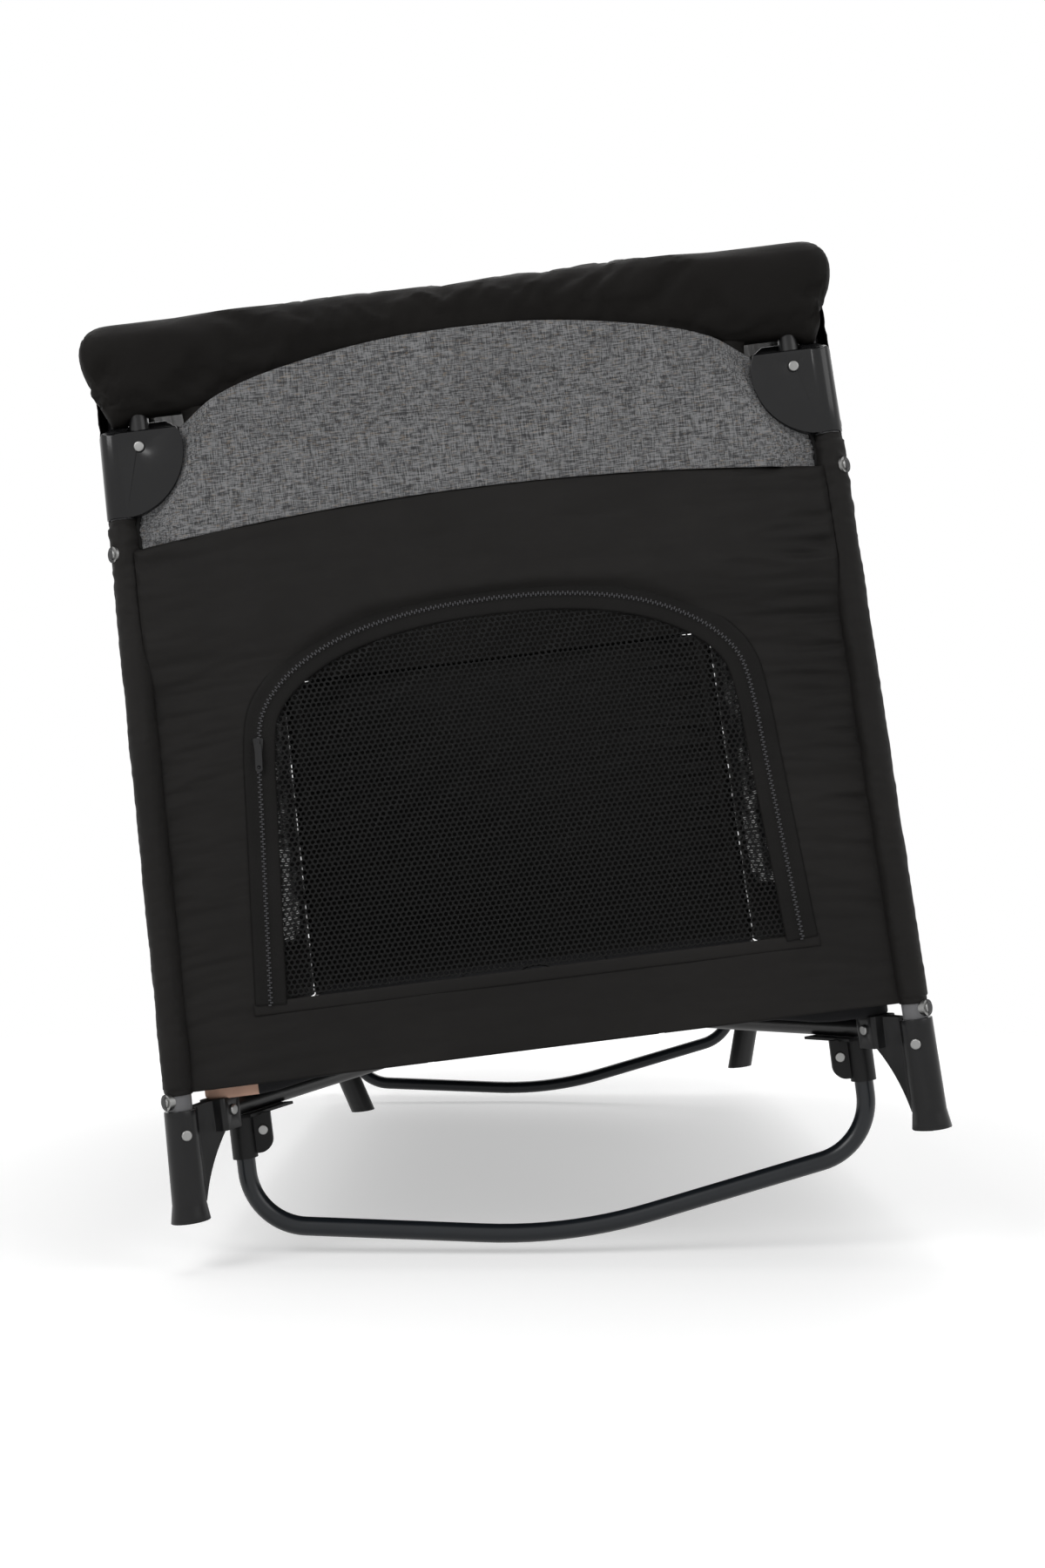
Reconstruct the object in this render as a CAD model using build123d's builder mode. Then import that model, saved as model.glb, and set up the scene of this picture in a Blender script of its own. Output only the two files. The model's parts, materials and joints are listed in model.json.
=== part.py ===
"""A folding playpen on rocker bars, in millimetres.

Frame: origin on the floor under the middle, +X across the door end, +Y along the length away
from the door, +Z up. Heights named *_h are measured above the soles of the feet.
"""
from build123d import *
from math import cos, hypot, radians, sin, tan
import os

os.makedirs("parts", exist_ok=True)

# ---- driving dimensions ----
sole_z = 68.0            # soles above the lowest point of the rocker bars
post_x = 305.0           # post axis from the middle, at the height of the rail pivots
post_y = 585.0
post_lean = 1.07         # degrees, the posts spread towards the floor
post_r = 10.5
tube_wall = 1.2
post_above = 13.5        # its top, over the rail pivots
post_foot_h = 30.0

rail_r = 8.5
rail_tip_r = 8.6         # rounding of the ends about their pivots
rail_pivot_h = 660.5
rail_pivot_in = 22.3     # from the post axis to the rail pivot, along either side
rail_rise = 87.5         # from the pivots up to the rails' axis
rail_bend_r = 34.0
rail_gap = 60.0          # from the middle of a side to the inner pivot of each rail half

bracket_above = 27.8     # its top, over the rail pivots
bracket_below = 59.5     # its foot, under them
bracket_shoulder = 11.0   # outer corner of its top, over them
bracket_crown = 27.0      # from the post axis to the highest point of each wing
bracket_reach = 59.5      # from the post axis to the tip of each D-shaped wing
bracket_wall = 2.5
slot_depth = 20.5        # floor of the rails' slots, under the pivots

base_r = 9.0
base_h = 86.5            # axis of the base tubes
foot_pivot_in = 29.0     # from the post axis to the base tube's pivot, in x and in y
hub_pivot_x = 50.0
hub_pivot_y = 50.0
hub_top_wall = 3.5
strut_offset = 15.0      # the two centre struts pass each other by this much each side
strut_pivot_x = 34.0

foot_height = 94.0
foot_r = 14.0
sole_r = 17.0
sole_rim = 6.0
clevis_wall = 3.6
clevis_low_h = 70.0
web_thick = 12.0

centre_leg_r = 13.0
centre_leg_x = 221.0     # where it stands
centre_leg_lean = 16.7   # degrees, the legs lean in towards the floor
centre_leg_top_h = 95.0

bar_r = 8.25
bar_y = 519.0
bar_x = 276.0
bar_bend_r = 55.0
bar_middle_r = 465.0
bar_slope = 9.3          # degrees, the straight runs rise outwards
sleeve_r = 11.2
sleeve_low_h = 38.0
saddle_length = 70.0
saddle_wall = 2.5
saddle_back = 14.0       # how far the saddle reaches from the bar towards the foot
lug_reach = 15.0
lug_round = 12.0
lug_thick = 6.0

screw_head_r = 4.5
screw_head_high = 2.2
boss_r = 7.0
boss_high = 3.4
top_screw_below = 30.0   # under the bracket
low_screw_h = 102.5
foot_screw_h = 73.5
foot_screw_turn = 24.0   # degrees inwards from straight ahead

pin_r = 3.0
running_fit = 0.05       # radial, pins in their holes
clearance = 0.3          # between pieces of different bodies
slot_clearance = 0.5

cover_half = 22.0        # the padded cover is this far out from the rail's plane
cover_seat = 1.9         # its hem, under the top of the bracket
cover_above = 21.0       # over the rails' axis
cover_round = 20.0
cover_crown = 12.0
cavity_clearance = 1.5

cloth = 2.0              # thickness of a wall
wall_low_h = 108.0
wall_below = 14.0        # its top, under the rails' axis
seam_below = 29.0        # seam of the door end's panels at the posts, under the bracket
seam_rise = 18.0         # how much higher it is in the middle
piping = 4.0             # the upper panel is cut back this far from the brackets

door_low_h = 173.0
door_low_x = 228.0       # zip line, half width at the hem
door_side_h = 400.0
door_side_x = 212.0      # zip line, half width where the arch begins
door_shoulder = (187.0, 439.0)
door_crown_end = (128.0, 472.0)
door_top_h = 494.0
tape_half = 11.0
mesh_thick = 1.2
slider_thick = 4.5

window_margin_y = 95.0   # side windows, from the posts
window_low_h = 190.0
window_high_h = 560.0
window_round = 60.0

mat_thick = 20.0
mat_half_x = 300.0
mat_half_y = 568.0
mat_round = 24.0
strap_width = 25.0
strap_thick = 2.0
strap_rise = 45.0

latch_half_length = 77.0
latch_wall = 2.5
latch_above = 6.0        # over the rails' axis

# ---- places that follow from them ----
post_top_h = rail_pivot_h + post_above
rail_h = rail_pivot_h + rail_rise
bracket_top_h = rail_pivot_h + bracket_above
bracket_low_h = rail_pivot_h - bracket_below
bracket_corner_h = rail_pivot_h + bracket_shoulder
slot_floor_h = rail_pivot_h - slot_depth
top_screw_h = bracket_low_h - top_screw_below
cover_low_h = bracket_top_h - cover_seat
cover_top_h = rail_h + cover_above
wall_top_h = rail_h - wall_below
seam_end_h = bracket_low_h - seam_below
latch_top_h = rail_h + latch_above
lean = tan(radians(post_lean))


def floor_z(height):
    """Row height of a height above the soles."""
    return sole_z + height


def post_axis_x(height):
    return post_x + (rail_pivot_h - height) * lean


foot_pivot = Vector(post_axis_x(base_h) - foot_pivot_in, -(post_y - foot_pivot_in), floor_z(base_h))
hub_pivot = Vector(hub_pivot_x, -hub_pivot_y, floor_z(base_h))
base_way = (hub_pivot - foot_pivot).normalized()
base_length = (hub_pivot - foot_pivot).length
base_side = Vector(base_way.Y, -base_way.X, 0)
front_pivot = Vector(post_x - rail_pivot_in, -post_y, floor_z(rail_pivot_h))
side_pivot = Vector(post_x, -(post_y - rail_pivot_in), floor_z(rail_pivot_h))
out_corner = Vector(1, -1, 0).normalized()
cover_x = post_axis_x(rail_h)
cavity_half = rail_r + cavity_clearance
pin_hole_r = pin_r + running_fit
hub_half = base_r + slot_clearance + clevis_wall
hub_low_h = base_h - base_r - 2
hub_top_h = base_h + base_r + slot_clearance + hub_top_wall

corners = {"fl": (True, False), "fr": (False, False), "rl": (True, True), "rr": (False, True)}


def save(shape, node):
    """Write one finished piece as its own STEP file."""
    shape.label = node
    export_step(shape, f"parts/{node}.step")


def placed(shape, left, rear):
    """A copy of a front right piece at another corner."""
    if left:
        shape = mirror(shape, about=Plane.YZ)
    if rear:
        shape = mirror(shape, about=Plane.XZ)
    return shape


def save_at_corners(shape, stem):
    for corner, (left, rear) in corners.items():
        save(placed(shape, left, rear), f"{stem}_{corner}")


def save_front_rear(shape, stem):
    save(shape, f"{stem}_front")
    save(placed(shape, False, True), f"{stem}_rear")


def save_left_right(shape, stem):
    save(placed(shape, True, False), f"{stem}_left")
    save(shape, f"{stem}_right")


def post_plane(height):
    """Across the leaning post axis, at a height."""
    point = (post_axis_x(height), -post_y, floor_z(height))
    return Plane(origin=point, x_dir=(1, 0, lean), z_dir=(-lean, 0, 1))


# ---- posts ----
with BuildPart() as post:
    with BuildSketch(post_plane(post_foot_h)):
        Circle(post_r)
        Circle(post_r - tube_wall, mode=Mode.SUBTRACT)
    extrude(amount=(post_top_h - post_foot_h) * hypot(1, lean))
save_at_corners(post.part, "post")


# ---- corner brackets ----
# the D of one wing: x from the post axis inwards, y the height above the soles
with BuildSketch() as wing_outline:
    with BuildLine():
        top = Line((0, bracket_top_h), (bracket_crown, bracket_top_h))
        nose = ThreePointArc(
            top @ 1, (bracket_reach - 7.5, bracket_top_h - 9.5),
            (bracket_reach, rail_pivot_h - 5))
        belly = ThreePointArc(
            nose @ 1, (bracket_reach - 14, bracket_low_h + 19.5), (11, bracket_low_h))
        Polyline(belly @ 1, (0, bracket_low_h), top @ 0)
    make_face()

wing_half = rail_r + slot_clearance + bracket_wall
socket_r = post_r + bracket_wall
front_wing = Plane(origin=(post_x, -post_y, sole_z), x_dir=(-1, 0, 0), z_dir=(0, 1, 0))
side_wing = Plane(origin=(post_x, -post_y, sole_z), x_dir=(0, 1, 0), z_dir=(1, 0, 0))

with BuildPart() as bracket:
    for wing in (front_wing, side_wing):
        with BuildSketch(wing):
            add(wing_outline.sketch)
        extrude(amount=wing_half, both=True)
    with BuildSketch(post_plane(bracket_low_h)):
        Circle(socket_r)
    extrude(amount=bracket_top_h - bracket_low_h)
    # the top falls away outwards from the crown of each wing
    for wing in (front_wing, side_wing):
        with BuildSketch(wing):
            with BuildLine():
                fall = ThreePointArc(
                    (-socket_r - 1, bracket_corner_h), (4, bracket_top_h - 5),
                    (bracket_crown, bracket_top_h))
                Polyline(fall @ 1, (bracket_crown, bracket_top_h + 9),
                         (-socket_r - 1, bracket_top_h + 9), fall @ 0)
            make_face()
        extrude(amount=2 * bracket_reach, both=True, mode=Mode.SUBTRACT)
    for wing in (front_wing, side_wing):
        with BuildSketch(wing):
            with Locations((socket_r, slot_floor_h)):
                Rectangle(bracket_reach, bracket_top_h - slot_floor_h + 5,
                          align=(Align.MIN, Align.MIN))
        extrude(amount=rail_r + slot_clearance, both=True, mode=Mode.SUBTRACT)
        with BuildSketch(wing):
            with Locations((rail_pivot_in, rail_pivot_h)):
                Circle(pin_hole_r)
        extrude(amount=2 * wing_half, both=True, mode=Mode.SUBTRACT)
    with BuildSketch(post_plane(bracket_low_h - 5)):
        Circle(post_r + clearance / 2)
    extrude(amount=post_top_h + 1 - bracket_low_h + 5, mode=Mode.SUBTRACT)
save_at_corners(bracket.part, "corner_bracket")

# ---- feet ----
web_plane = Plane(
    origin=(post_axis_x(base_h), -post_y, sole_z), x_dir=-out_corner, z_dir=(1, 1, 0))
clevis_plane = Plane(
    origin=(foot_pivot.X, foot_pivot.Y, floor_z(clevis_low_h)), x_dir=base_way, z_dir=(0, 0, 1))
pivot_plane = Plane(origin=foot_pivot, x_dir=base_way, z_dir=base_side)
clevis_half = base_r + slot_clearance + clevis_wall
web_reach = foot_pivot_in * hypot(1, 1)
foot_top = foot_height + 4

with BuildPart() as foot:
    with BuildSketch(Plane(origin=(post_axis_x(0), -post_y, sole_z))):
        Circle(sole_r)
    with BuildSketch(post_plane(sole_rim)):
        Circle(sole_r - 1)
    with BuildSketch(post_plane(2.5 * sole_rim)):
        Circle(foot_r + 0.6)
    with BuildSketch(post_plane(foot_height)):
        Circle(foot_r)
    loft(ruled=True)
    with BuildSketch(web_plane):
        with BuildLine():
            crest = Line((0, foot_height), (web_reach, foot_top))
            end = Line(crest @ 1, (web_reach, clevis_low_h))
            hollow = ThreePointArc(end @ 1, (foot_r + 9, 42), (foot_r - 1, 2.5 * sole_rim))
            Polyline(hollow @ 1, (0, 2.5 * sole_rim), crest @ 0)
        make_face()
    extrude(amount=web_thick / 2, both=True)
    with BuildSketch(clevis_plane):
        RectangleRounded(2 * clevis_half, 2 * clevis_half, 4)
    extrude(amount=foot_top - clevis_low_h)
    with BuildSketch(pivot_plane):
        Circle(base_r + slot_clearance)
        with Locations((0, -base_r - slot_clearance)):
            Rectangle(40, 60, align=(Align.MIN, Align.MIN))
        with Locations((-base_r - slot_clearance, 0)):
            Rectangle(20, 60, align=(Align.MIN, Align.MIN))
    extrude(amount=base_r + slot_clearance, both=True, mode=Mode.SUBTRACT)
    with BuildSketch(pivot_plane):
        Circle(pin_hole_r)
    extrude(amount=2 * clevis_half, both=True, mode=Mode.SUBTRACT)
    with BuildSketch(post_plane(post_foot_h - 1)):
        Circle(post_r + clearance / 2)
    extrude(amount=foot_height, mode=Mode.SUBTRACT)
save_at_corners(foot.part, "foot")

# ---- base tubes, from each foot to the hub ----
with BuildPart() as base_tube:
    with BuildSketch(Plane(origin=foot_pivot - base_way * base_r, z_dir=base_way)):
        Circle(base_r)
        Circle(base_r - tube_wall, mode=Mode.SUBTRACT)
    extrude(amount=base_length + 2 * base_r)
    with BuildSketch(pivot_plane):
        with Locations((base_length / 2, 0)):
            SlotCenterToCenter(base_length, 2 * base_r)
    extrude(amount=2 * base_r, both=True, mode=Mode.INTERSECT)
    with BuildSketch(pivot_plane):
        with Locations((0, 0), (base_length, 0)):
            Circle(pin_hole_r)
    extrude(amount=2 * base_r, both=True, mode=Mode.SUBTRACT)
save_at_corners(base_tube.part, "base_tube")

# ---- hub, with a slot for each base tube and centre strut, open outwards and downwards ----
hub_plane = Plane(origin=hub_pivot, x_dir=-base_way, z_dir=-base_side)
strut_pivot = Vector(strut_pivot_x, -strut_offset, floor_z(base_h))
strut_plane = Plane(origin=strut_pivot, x_dir=(1, 0, 0), z_dir=(0, -1, 0))
strut_places = ((False, False), (True, True))

with BuildSketch() as hub_slot_outline:
    Circle(base_r + slot_clearance)
    with Locations((0, base_r + slot_clearance)):
        Rectangle(60, 60, align=(Align.MIN, Align.MAX))
    with Locations((-base_r - slot_clearance, 0)):
        Rectangle(20, 60, align=(Align.MIN, Align.MAX))


def hub_slot(plane):
    """The space that one tube needs in the hub, with the hole for its pin."""
    with BuildPart() as slot:
        with BuildSketch(plane):
            add(hub_slot_outline.sketch)
        extrude(amount=base_r + slot_clearance, both=True)
        with BuildSketch(plane):
            Circle(pin_hole_r)
        extrude(amount=hub_half, both=True)
    return slot.part


def hub_pin(plane):
    with BuildPart() as pin:
        with BuildSketch(plane):
            Circle(pin_r)
        extrude(amount=hub_half - 1, both=True)
    return pin.part


tube_slots = [placed(hub_slot(hub_plane), left, rear) for left, rear in corners.values()]
strut_slots = [placed(hub_slot(strut_plane), left, rear) for left, rear in strut_places]
tube_pins = [placed(hub_pin(hub_plane), left, rear) for left, rear in corners.values()]
strut_pins = [placed(hub_pin(strut_plane), left, rear) for left, rear in strut_places]

with BuildPart() as hub:
    with BuildSketch(Plane.XY.offset(floor_z(hub_low_h))):
        RectangleRounded(2 * (hub_pivot_x + hub_half), 2 * (hub_pivot_y + hub_half), 16)
    extrude(amount=hub_top_h - hub_low_h)
    fillet(hub.faces().sort_by(Axis.Z)[-1].edges(), 3)
    add(tube_slots, mode=Mode.SUBTRACT)
    add(strut_slots, mode=Mode.SUBTRACT)
save(hub.part, "hub")

with BuildPart() as hub_pins:
    add(tube_pins)
    add(strut_pins)
save(hub_pins.part, "hub_pins")

with BuildPart() as hub_strap:
    with BuildSketch(Plane.XZ.offset(-strap_width / 2)):
        with Locations((0, floor_z(hub_top_h))):
            RectangleRounded(2 * strap_width, 2 * strap_rise, strap_rise / 3)
            RectangleRounded(2 * strap_width - 2 * strap_thick, 2 * (strap_rise - strap_thick),
                             strap_rise / 3 - strap_thick, mode=Mode.SUBTRACT)
    extrude(amount=strap_width)
    split(bisect_by=Plane.XY.offset(floor_z(hub_top_h)))
save(hub_strap.part, "hub_strap")

# ---- centre struts and legs ----
leg_lean = tan(radians(centre_leg_lean))
leg_way = Vector(leg_lean, 0, 1).normalized()
strut_end_x = centre_leg_x + base_h * leg_lean
leg_foot = Vector(centre_leg_x, -strut_offset, floor_z(0))

with BuildPart() as strut:
    with BuildSketch(Plane(origin=strut_pivot - Vector(base_r, 0, 0), z_dir=(1, 0, 0))):
        Circle(base_r)
        Circle(base_r - tube_wall, mode=Mode.SUBTRACT)
    extrude(amount=strut_end_x - strut_pivot_x + base_r)
    with BuildSketch(strut_plane):
        Circle(base_r)
        Rectangle(strut_end_x, 2 * base_r, align=(Align.MIN, Align.CENTER))
    extrude(amount=2 * base_r, both=True, mode=Mode.INTERSECT)
    with BuildSketch(strut_plane):
        Circle(pin_hole_r)
    extrude(amount=2 * base_r, both=True, mode=Mode.SUBTRACT)

with BuildPart() as centre_leg:
    with BuildSketch(Plane(origin=leg_foot - leg_way * centre_leg_r, z_dir=leg_way)):
        Circle(centre_leg_r)
    extrude(amount=centre_leg_top_h / leg_way.Z + centre_leg_r)
    fillet(centre_leg.faces().sort_by(Axis.Z)[-1].edges(), 4)
    split(bisect_by=Plane.XY.offset(floor_z(0)))
    with BuildSketch(Plane(origin=strut_pivot, z_dir=(1, 0, 0))):
        Circle(base_r + running_fit)
    extrude(amount=strut_end_x - strut_pivot_x, mode=Mode.SUBTRACT)

for side, (left, rear) in (("right", strut_places[0]), ("left", strut_places[1])):
    save(placed(strut.part, left, rear), f"centre_strut_{side}")
    save(placed(centre_leg.part, left, rear), f"centre_leg_{side}")

# ---- rail halves, bent down at the corner into the brackets ----
rail_rise = rail_h - rail_pivot_h
front_rail = Plane(origin=front_pivot, x_dir=(-1, 0, 0), z_dir=(0, 1, 0))
side_rail = Plane(origin=side_pivot, x_dir=(0, 1, 0), z_dir=(1, 0, 0))


def rail_half(plane, run):
    """A rail half in its upright plane, x inwards and y up from the pivot."""
    with BuildPart() as rail:
        with BuildLine(plane) as path:
            FilletPolyline((0, -2 * rail_r), (0, rail_rise), (run + 2 * rail_r, rail_rise),
                           radius=rail_bend_r)
        with BuildSketch(Plane(origin=path.line @ 0, z_dir=path.line % 0)):
            Circle(rail_r)
            Circle(rail_r - tube_wall, mode=Mode.SUBTRACT)
        sweep()
        with BuildSketch(plane):
            Circle(rail_tip_r)
            with Locations((run, rail_rise)):
                Circle(rail_tip_r)
            with Locations((run, 0)):
                Rectangle(run + 2 * rail_r, rail_rise + 2 * rail_r, align=(Align.MAX, Align.MIN))
        extrude(amount=2 * rail_r, both=True, mode=Mode.INTERSECT)
        with BuildSketch(plane):
            with Locations((0, 0), (run, rail_rise)):
                Circle(pin_hole_r)
        extrude(amount=2 * rail_r, both=True, mode=Mode.SUBTRACT)
    return rail.part


front_run = front_pivot.X - rail_gap
side_run = -side_pivot.Y - rail_gap
front_half = rail_half(front_rail, front_run)
side_half = rail_half(side_rail, side_run)
for corner, (left, rear) in corners.items():
    save(placed(front_half, left, rear), f"end_rail_{corner}")
    save(placed(side_half, left, rear), f"side_rail_{corner}")

# ---- latch housings, a channel under the inner ends of two rail halves ----
channel_half = rail_r + slot_clearance + latch_wall
latch_floor_h = rail_h - rail_r - clearance


def latch_housing(plane, pin_along):
    """A channel along the plane's x, open upwards, with the pin of one rail half."""
    with BuildPart() as housing:
        with BuildSketch(plane):
            Rectangle(2 * latch_half_length, 2 * channel_half)
        extrude(amount=latch_top_h - latch_floor_h + latch_wall)
        fillet(housing.edges().filter_by(Axis.Z), 3)
        with BuildSketch(plane.offset(latch_wall)):
            Rectangle(2 * latch_half_length, 2 * (channel_half - latch_wall))
        extrude(amount=latch_top_h, mode=Mode.SUBTRACT)
        pin_plane = Plane(
            origin=plane.from_local_coords((pin_along, 0, rail_h - latch_floor_h + latch_wall)),
            z_dir=plane.y_dir)
        with BuildSketch(pin_plane):
            Circle(pin_r)
        extrude(amount=channel_half - latch_wall / 2, both=True)
    return housing.part


front_latch = Plane(origin=(0, -post_y, floor_z(latch_floor_h - latch_wall)))
side_latch = Plane(origin=(post_x, 0, floor_z(latch_floor_h - latch_wall)), x_dir=(0, 1, 0))
end_housing = latch_housing(front_latch, rail_gap)
side_housing = latch_housing(side_latch, -rail_gap)
save(placed(end_housing, True, False), "rail_latch_front")
save(placed(end_housing, True, True), "rail_latch_rear")
save(placed(side_housing, True, False), "rail_latch_left")
save(side_housing, "rail_latch_right")

# ---- rocker bars and their brackets ----
slope = tan(radians(bar_slope))
bar_middle_z = bar_r - bar_middle_r * (1 / cos(radians(bar_slope)) - 1)
bar_corner_z = bar_middle_z + bar_x * slope
bar_plane = Plane(origin=(0, -bar_y, 0), x_dir=(1, 0, 0), z_dir=(0, -1, 0))
saddle_r = base_r + clearance
bar_top_h = base_h - saddle_r - saddle_wall - 2

with BuildPart() as rocker_bar:
    with BuildLine(bar_plane) as bar_path:
        FilletPolyline(
            (-bar_x, floor_z(bar_top_h)), (-bar_x, bar_corner_z), (0, bar_middle_z),
            (bar_x, bar_corner_z), (bar_x, floor_z(bar_top_h)),
            radius=(bar_bend_r, bar_middle_r, bar_bend_r))
    with BuildSketch(Plane(origin=bar_path.line @ 0, z_dir=bar_path.line % 0)):
        Circle(bar_r)
        Circle(bar_r - tube_wall, mode=Mode.SUBTRACT)
    sweep()
save_front_rear(rocker_bar.part, "rocker_bar")

saddle_along = (-bar_y - foot_pivot.Y) / base_way.Y
saddle_start = foot_pivot + base_way * (saddle_along - saddle_back)
saddle_plane = Plane(origin=saddle_start, x_dir=-base_side, z_dir=base_way)
lug_plane = Plane(origin=(bar_x, -bar_y, sole_z), x_dir=(-1, 0, 0), z_dir=(0, 1, 0))
lug_top_h = base_h - saddle_r - saddle_wall / 2
lug_screw = (sleeve_r + lug_reach / 2, (sleeve_low_h + lug_top_h) / 2 + 4)

with BuildPart() as rocker_bracket:
    with BuildSketch(Plane(origin=(bar_x, -bar_y, floor_z(sleeve_low_h)))):
        Circle(sleeve_r)
    extrude(amount=lug_top_h - sleeve_low_h)
    with BuildSketch(lug_plane):
        with BuildLine():
            lug_low_h = sleeve_low_h + 3
            lug_end = sleeve_r + lug_reach
            floor_line = Line((0, lug_low_h), (lug_end - lug_round, lug_low_h))
            lug_arc = RadiusArc(floor_line @ 1, (lug_end, lug_low_h + lug_round), -lug_round)
            Polyline(lug_arc @ 1, (lug_end, lug_top_h), (0, lug_top_h), floor_line @ 0)
        make_face()
    extrude(amount=lug_thick / 2, both=True)
    with BuildSketch(saddle_plane):
        with Locations((0, -saddle_r)):
            Rectangle(2 * (saddle_r + saddle_wall), saddle_wall,
                      align=(Align.CENTER, Align.MAX))
    extrude(amount=saddle_length)
    with BuildSketch(Plane(origin=(bar_x, -bar_y, floor_z(sleeve_low_h)))):
        Circle(bar_r + running_fit)
    extrude(amount=bar_top_h - sleeve_low_h, mode=Mode.SUBTRACT)

with BuildPart() as rocker_screw:
    with BuildSketch(lug_plane.offset(-lug_thick / 2)):
        with Locations(lug_screw):
            Circle(screw_head_r)
    extrude(amount=-screw_head_high)
    fillet(rocker_screw.faces().sort_by(Axis.Y)[0].edges(), screw_head_high / 2)

for piece, stem in ((rocker_bracket.part, "rocker_brackets"), (rocker_screw.part, "rocker_screws")):
    with BuildPart() as pair:
        add(piece)
        mirror(about=Plane.YZ)
    save_front_rear(pair.part, stem)


# ---- fasteners of one corner ----
def dome_head(plane):
    """A screw or rivet head that stands on its plane."""
    with BuildPart() as head:
        with BuildSketch(plane):
            Circle(screw_head_r)
        extrude(amount=screw_head_high)
        fillet(head.faces().sort_by(Axis(plane.origin, plane.z_dir))[-1].edges(),
               screw_head_high * 0.6)
    return head.part


def through_rivet(plane, half):
    """A rivet along the plane's normal, with a head at each end."""
    with BuildPart() as shank:
        with BuildSketch(plane):
            Circle(pin_r)
        extrude(amount=half, both=True)
    near = Plane(origin=plane.origin + plane.z_dir * half, x_dir=plane.x_dir, z_dir=plane.z_dir)
    far = Plane(origin=plane.origin - plane.z_dir * half, x_dir=plane.x_dir, z_dir=-plane.z_dir)
    with BuildPart() as rivet:
        add(shank.part)
        add(dome_head(near))
        add(dome_head(far))
    return rivet.part


def boss_screw(height):
    """A screw on the outer corner of the post, in a round plastic boss."""
    axis_point = Vector(post_axis_x(height), -post_y, floor_z(height))
    boss_plane = Plane(origin=axis_point, z_dir=out_corner)
    with BuildPart() as boss:
        with BuildSketch(boss_plane):
            Circle(boss_r)
        extrude(amount=post_r + boss_high)
        with BuildSketch(post_plane(height - 2 * boss_r)):
            Circle(post_r + clearance)
        extrude(amount=4 * boss_r, mode=Mode.SUBTRACT)
    return boss.part, dome_head(boss_plane.offset(post_r + boss_high))


foot_screw_way = Vector(-sin(radians(foot_screw_turn)), -cos(radians(foot_screw_turn)), 0)
foot_screw_plane = Plane(
    origin=Vector(post_axis_x(foot_screw_h), -post_y, floor_z(foot_screw_h))
    + foot_screw_way * (foot_r + clearance), z_dir=foot_screw_way)
fasteners = [
    through_rivet(Plane(origin=front_pivot, z_dir=(0, -1, 0)), wing_half),
    through_rivet(Plane(origin=side_pivot, z_dir=(1, 0, 0)), wing_half),
    through_rivet(Plane(origin=foot_pivot, z_dir=base_side), clevis_half),
    dome_head(foot_screw_plane),
    *boss_screw(top_screw_h),
    *boss_screw(low_screw_h),
]
with BuildPart() as corner_fasteners:
    add(fasteners)
save_at_corners(corner_fasteners.part, "corner_fasteners")

# ---- padded covers of the four rails ----
cavity_top_h = rail_h + cavity_half
cavity_high = cavity_top_h - cover_low_h + 1
end_cavity_x = front_pivot.X + cavity_half
latch_cavity = (2 * (latch_half_length + 3), 2 * (channel_half + 1.5))
side_cover_y = post_y - cover_half - clearance

with BuildPart() as end_cover:
    with BuildSketch(Plane.XY.offset(floor_z(cover_low_h))):
        with Locations((0, -post_y)):
            RectangleRounded(2 * (cover_x + cover_half), 2 * cover_half, cover_round)
            with Locations((0, cover_half)):
                Rectangle(2 * (cover_x + cover_half), cover_half, align=(Align.CENTER, Align.MAX))
    extrude(amount=cover_top_h - cover_low_h)
    fillet(end_cover.faces().sort_by(Axis.Z)[-1].edges().sort_by(Axis.Y)[0], cover_crown)
    with BuildSketch(Plane.XY.offset(floor_z(cover_low_h) - 1)):
        with Locations((0, -post_y)):
            Rectangle(2 * end_cavity_x, 2 * cavity_half)
            Rectangle(*latch_cavity)
        with Locations((post_x, side_pivot.Y + cavity_half), (-post_x, side_pivot.Y + cavity_half)):
            Rectangle(2 * cavity_half, 2 * cavity_half + rail_pivot_in,
                      align=(Align.CENTER, Align.MAX))
    extrude(amount=cavity_high, mode=Mode.SUBTRACT)
    with BuildSketch(Plane.XY.offset(floor_z(cover_low_h) - 1)):
        with Locations((post_x, -post_y), (-post_x, -post_y)):
            Rectangle(2 * cavity_half, 4 * cover_half, align=(Align.CENTER, Align.MIN))
    extrude(amount=cavity_high, mode=Mode.SUBTRACT)
save_front_rear(end_cover.part, "rail_cover")

with BuildPart() as side_cover:
    with BuildSketch(Plane.XY.offset(floor_z(cover_low_h))):
        with Locations((cover_x, 0)):
            Rectangle(2 * cover_half, 2 * side_cover_y)
    extrude(amount=cover_top_h - cover_low_h)
    fillet(side_cover.edges().filter_by(Axis.Y).sort_by(Axis.Z)[-2:], cover_crown)
    with BuildSketch(Plane.XY.offset(floor_z(cover_low_h) - 1)):
        with Locations((post_x, 0)):
            Rectangle(2 * cavity_half, 2 * post_y)
            Rectangle(latch_cavity[1], latch_cavity[0])
    extrude(amount=cavity_high, mode=Mode.SUBTRACT)
save_left_right(side_cover.part, "rail_cover")

# ---- walls ----
end_wall = Plane(origin=(0, -post_y, sole_z), x_dir=(1, 0, 0), z_dir=(0, -1, 0))
side_wall = Plane(origin=(post_axis_x(0), 0, sole_z), x_dir=(0, 1, 0), z_dir=(1, 0, lean))


def wall_edge(height):
    """Half width of an end wall, where it meets the post's side."""
    return post_axis_x(height) - post_r - clearance


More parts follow.
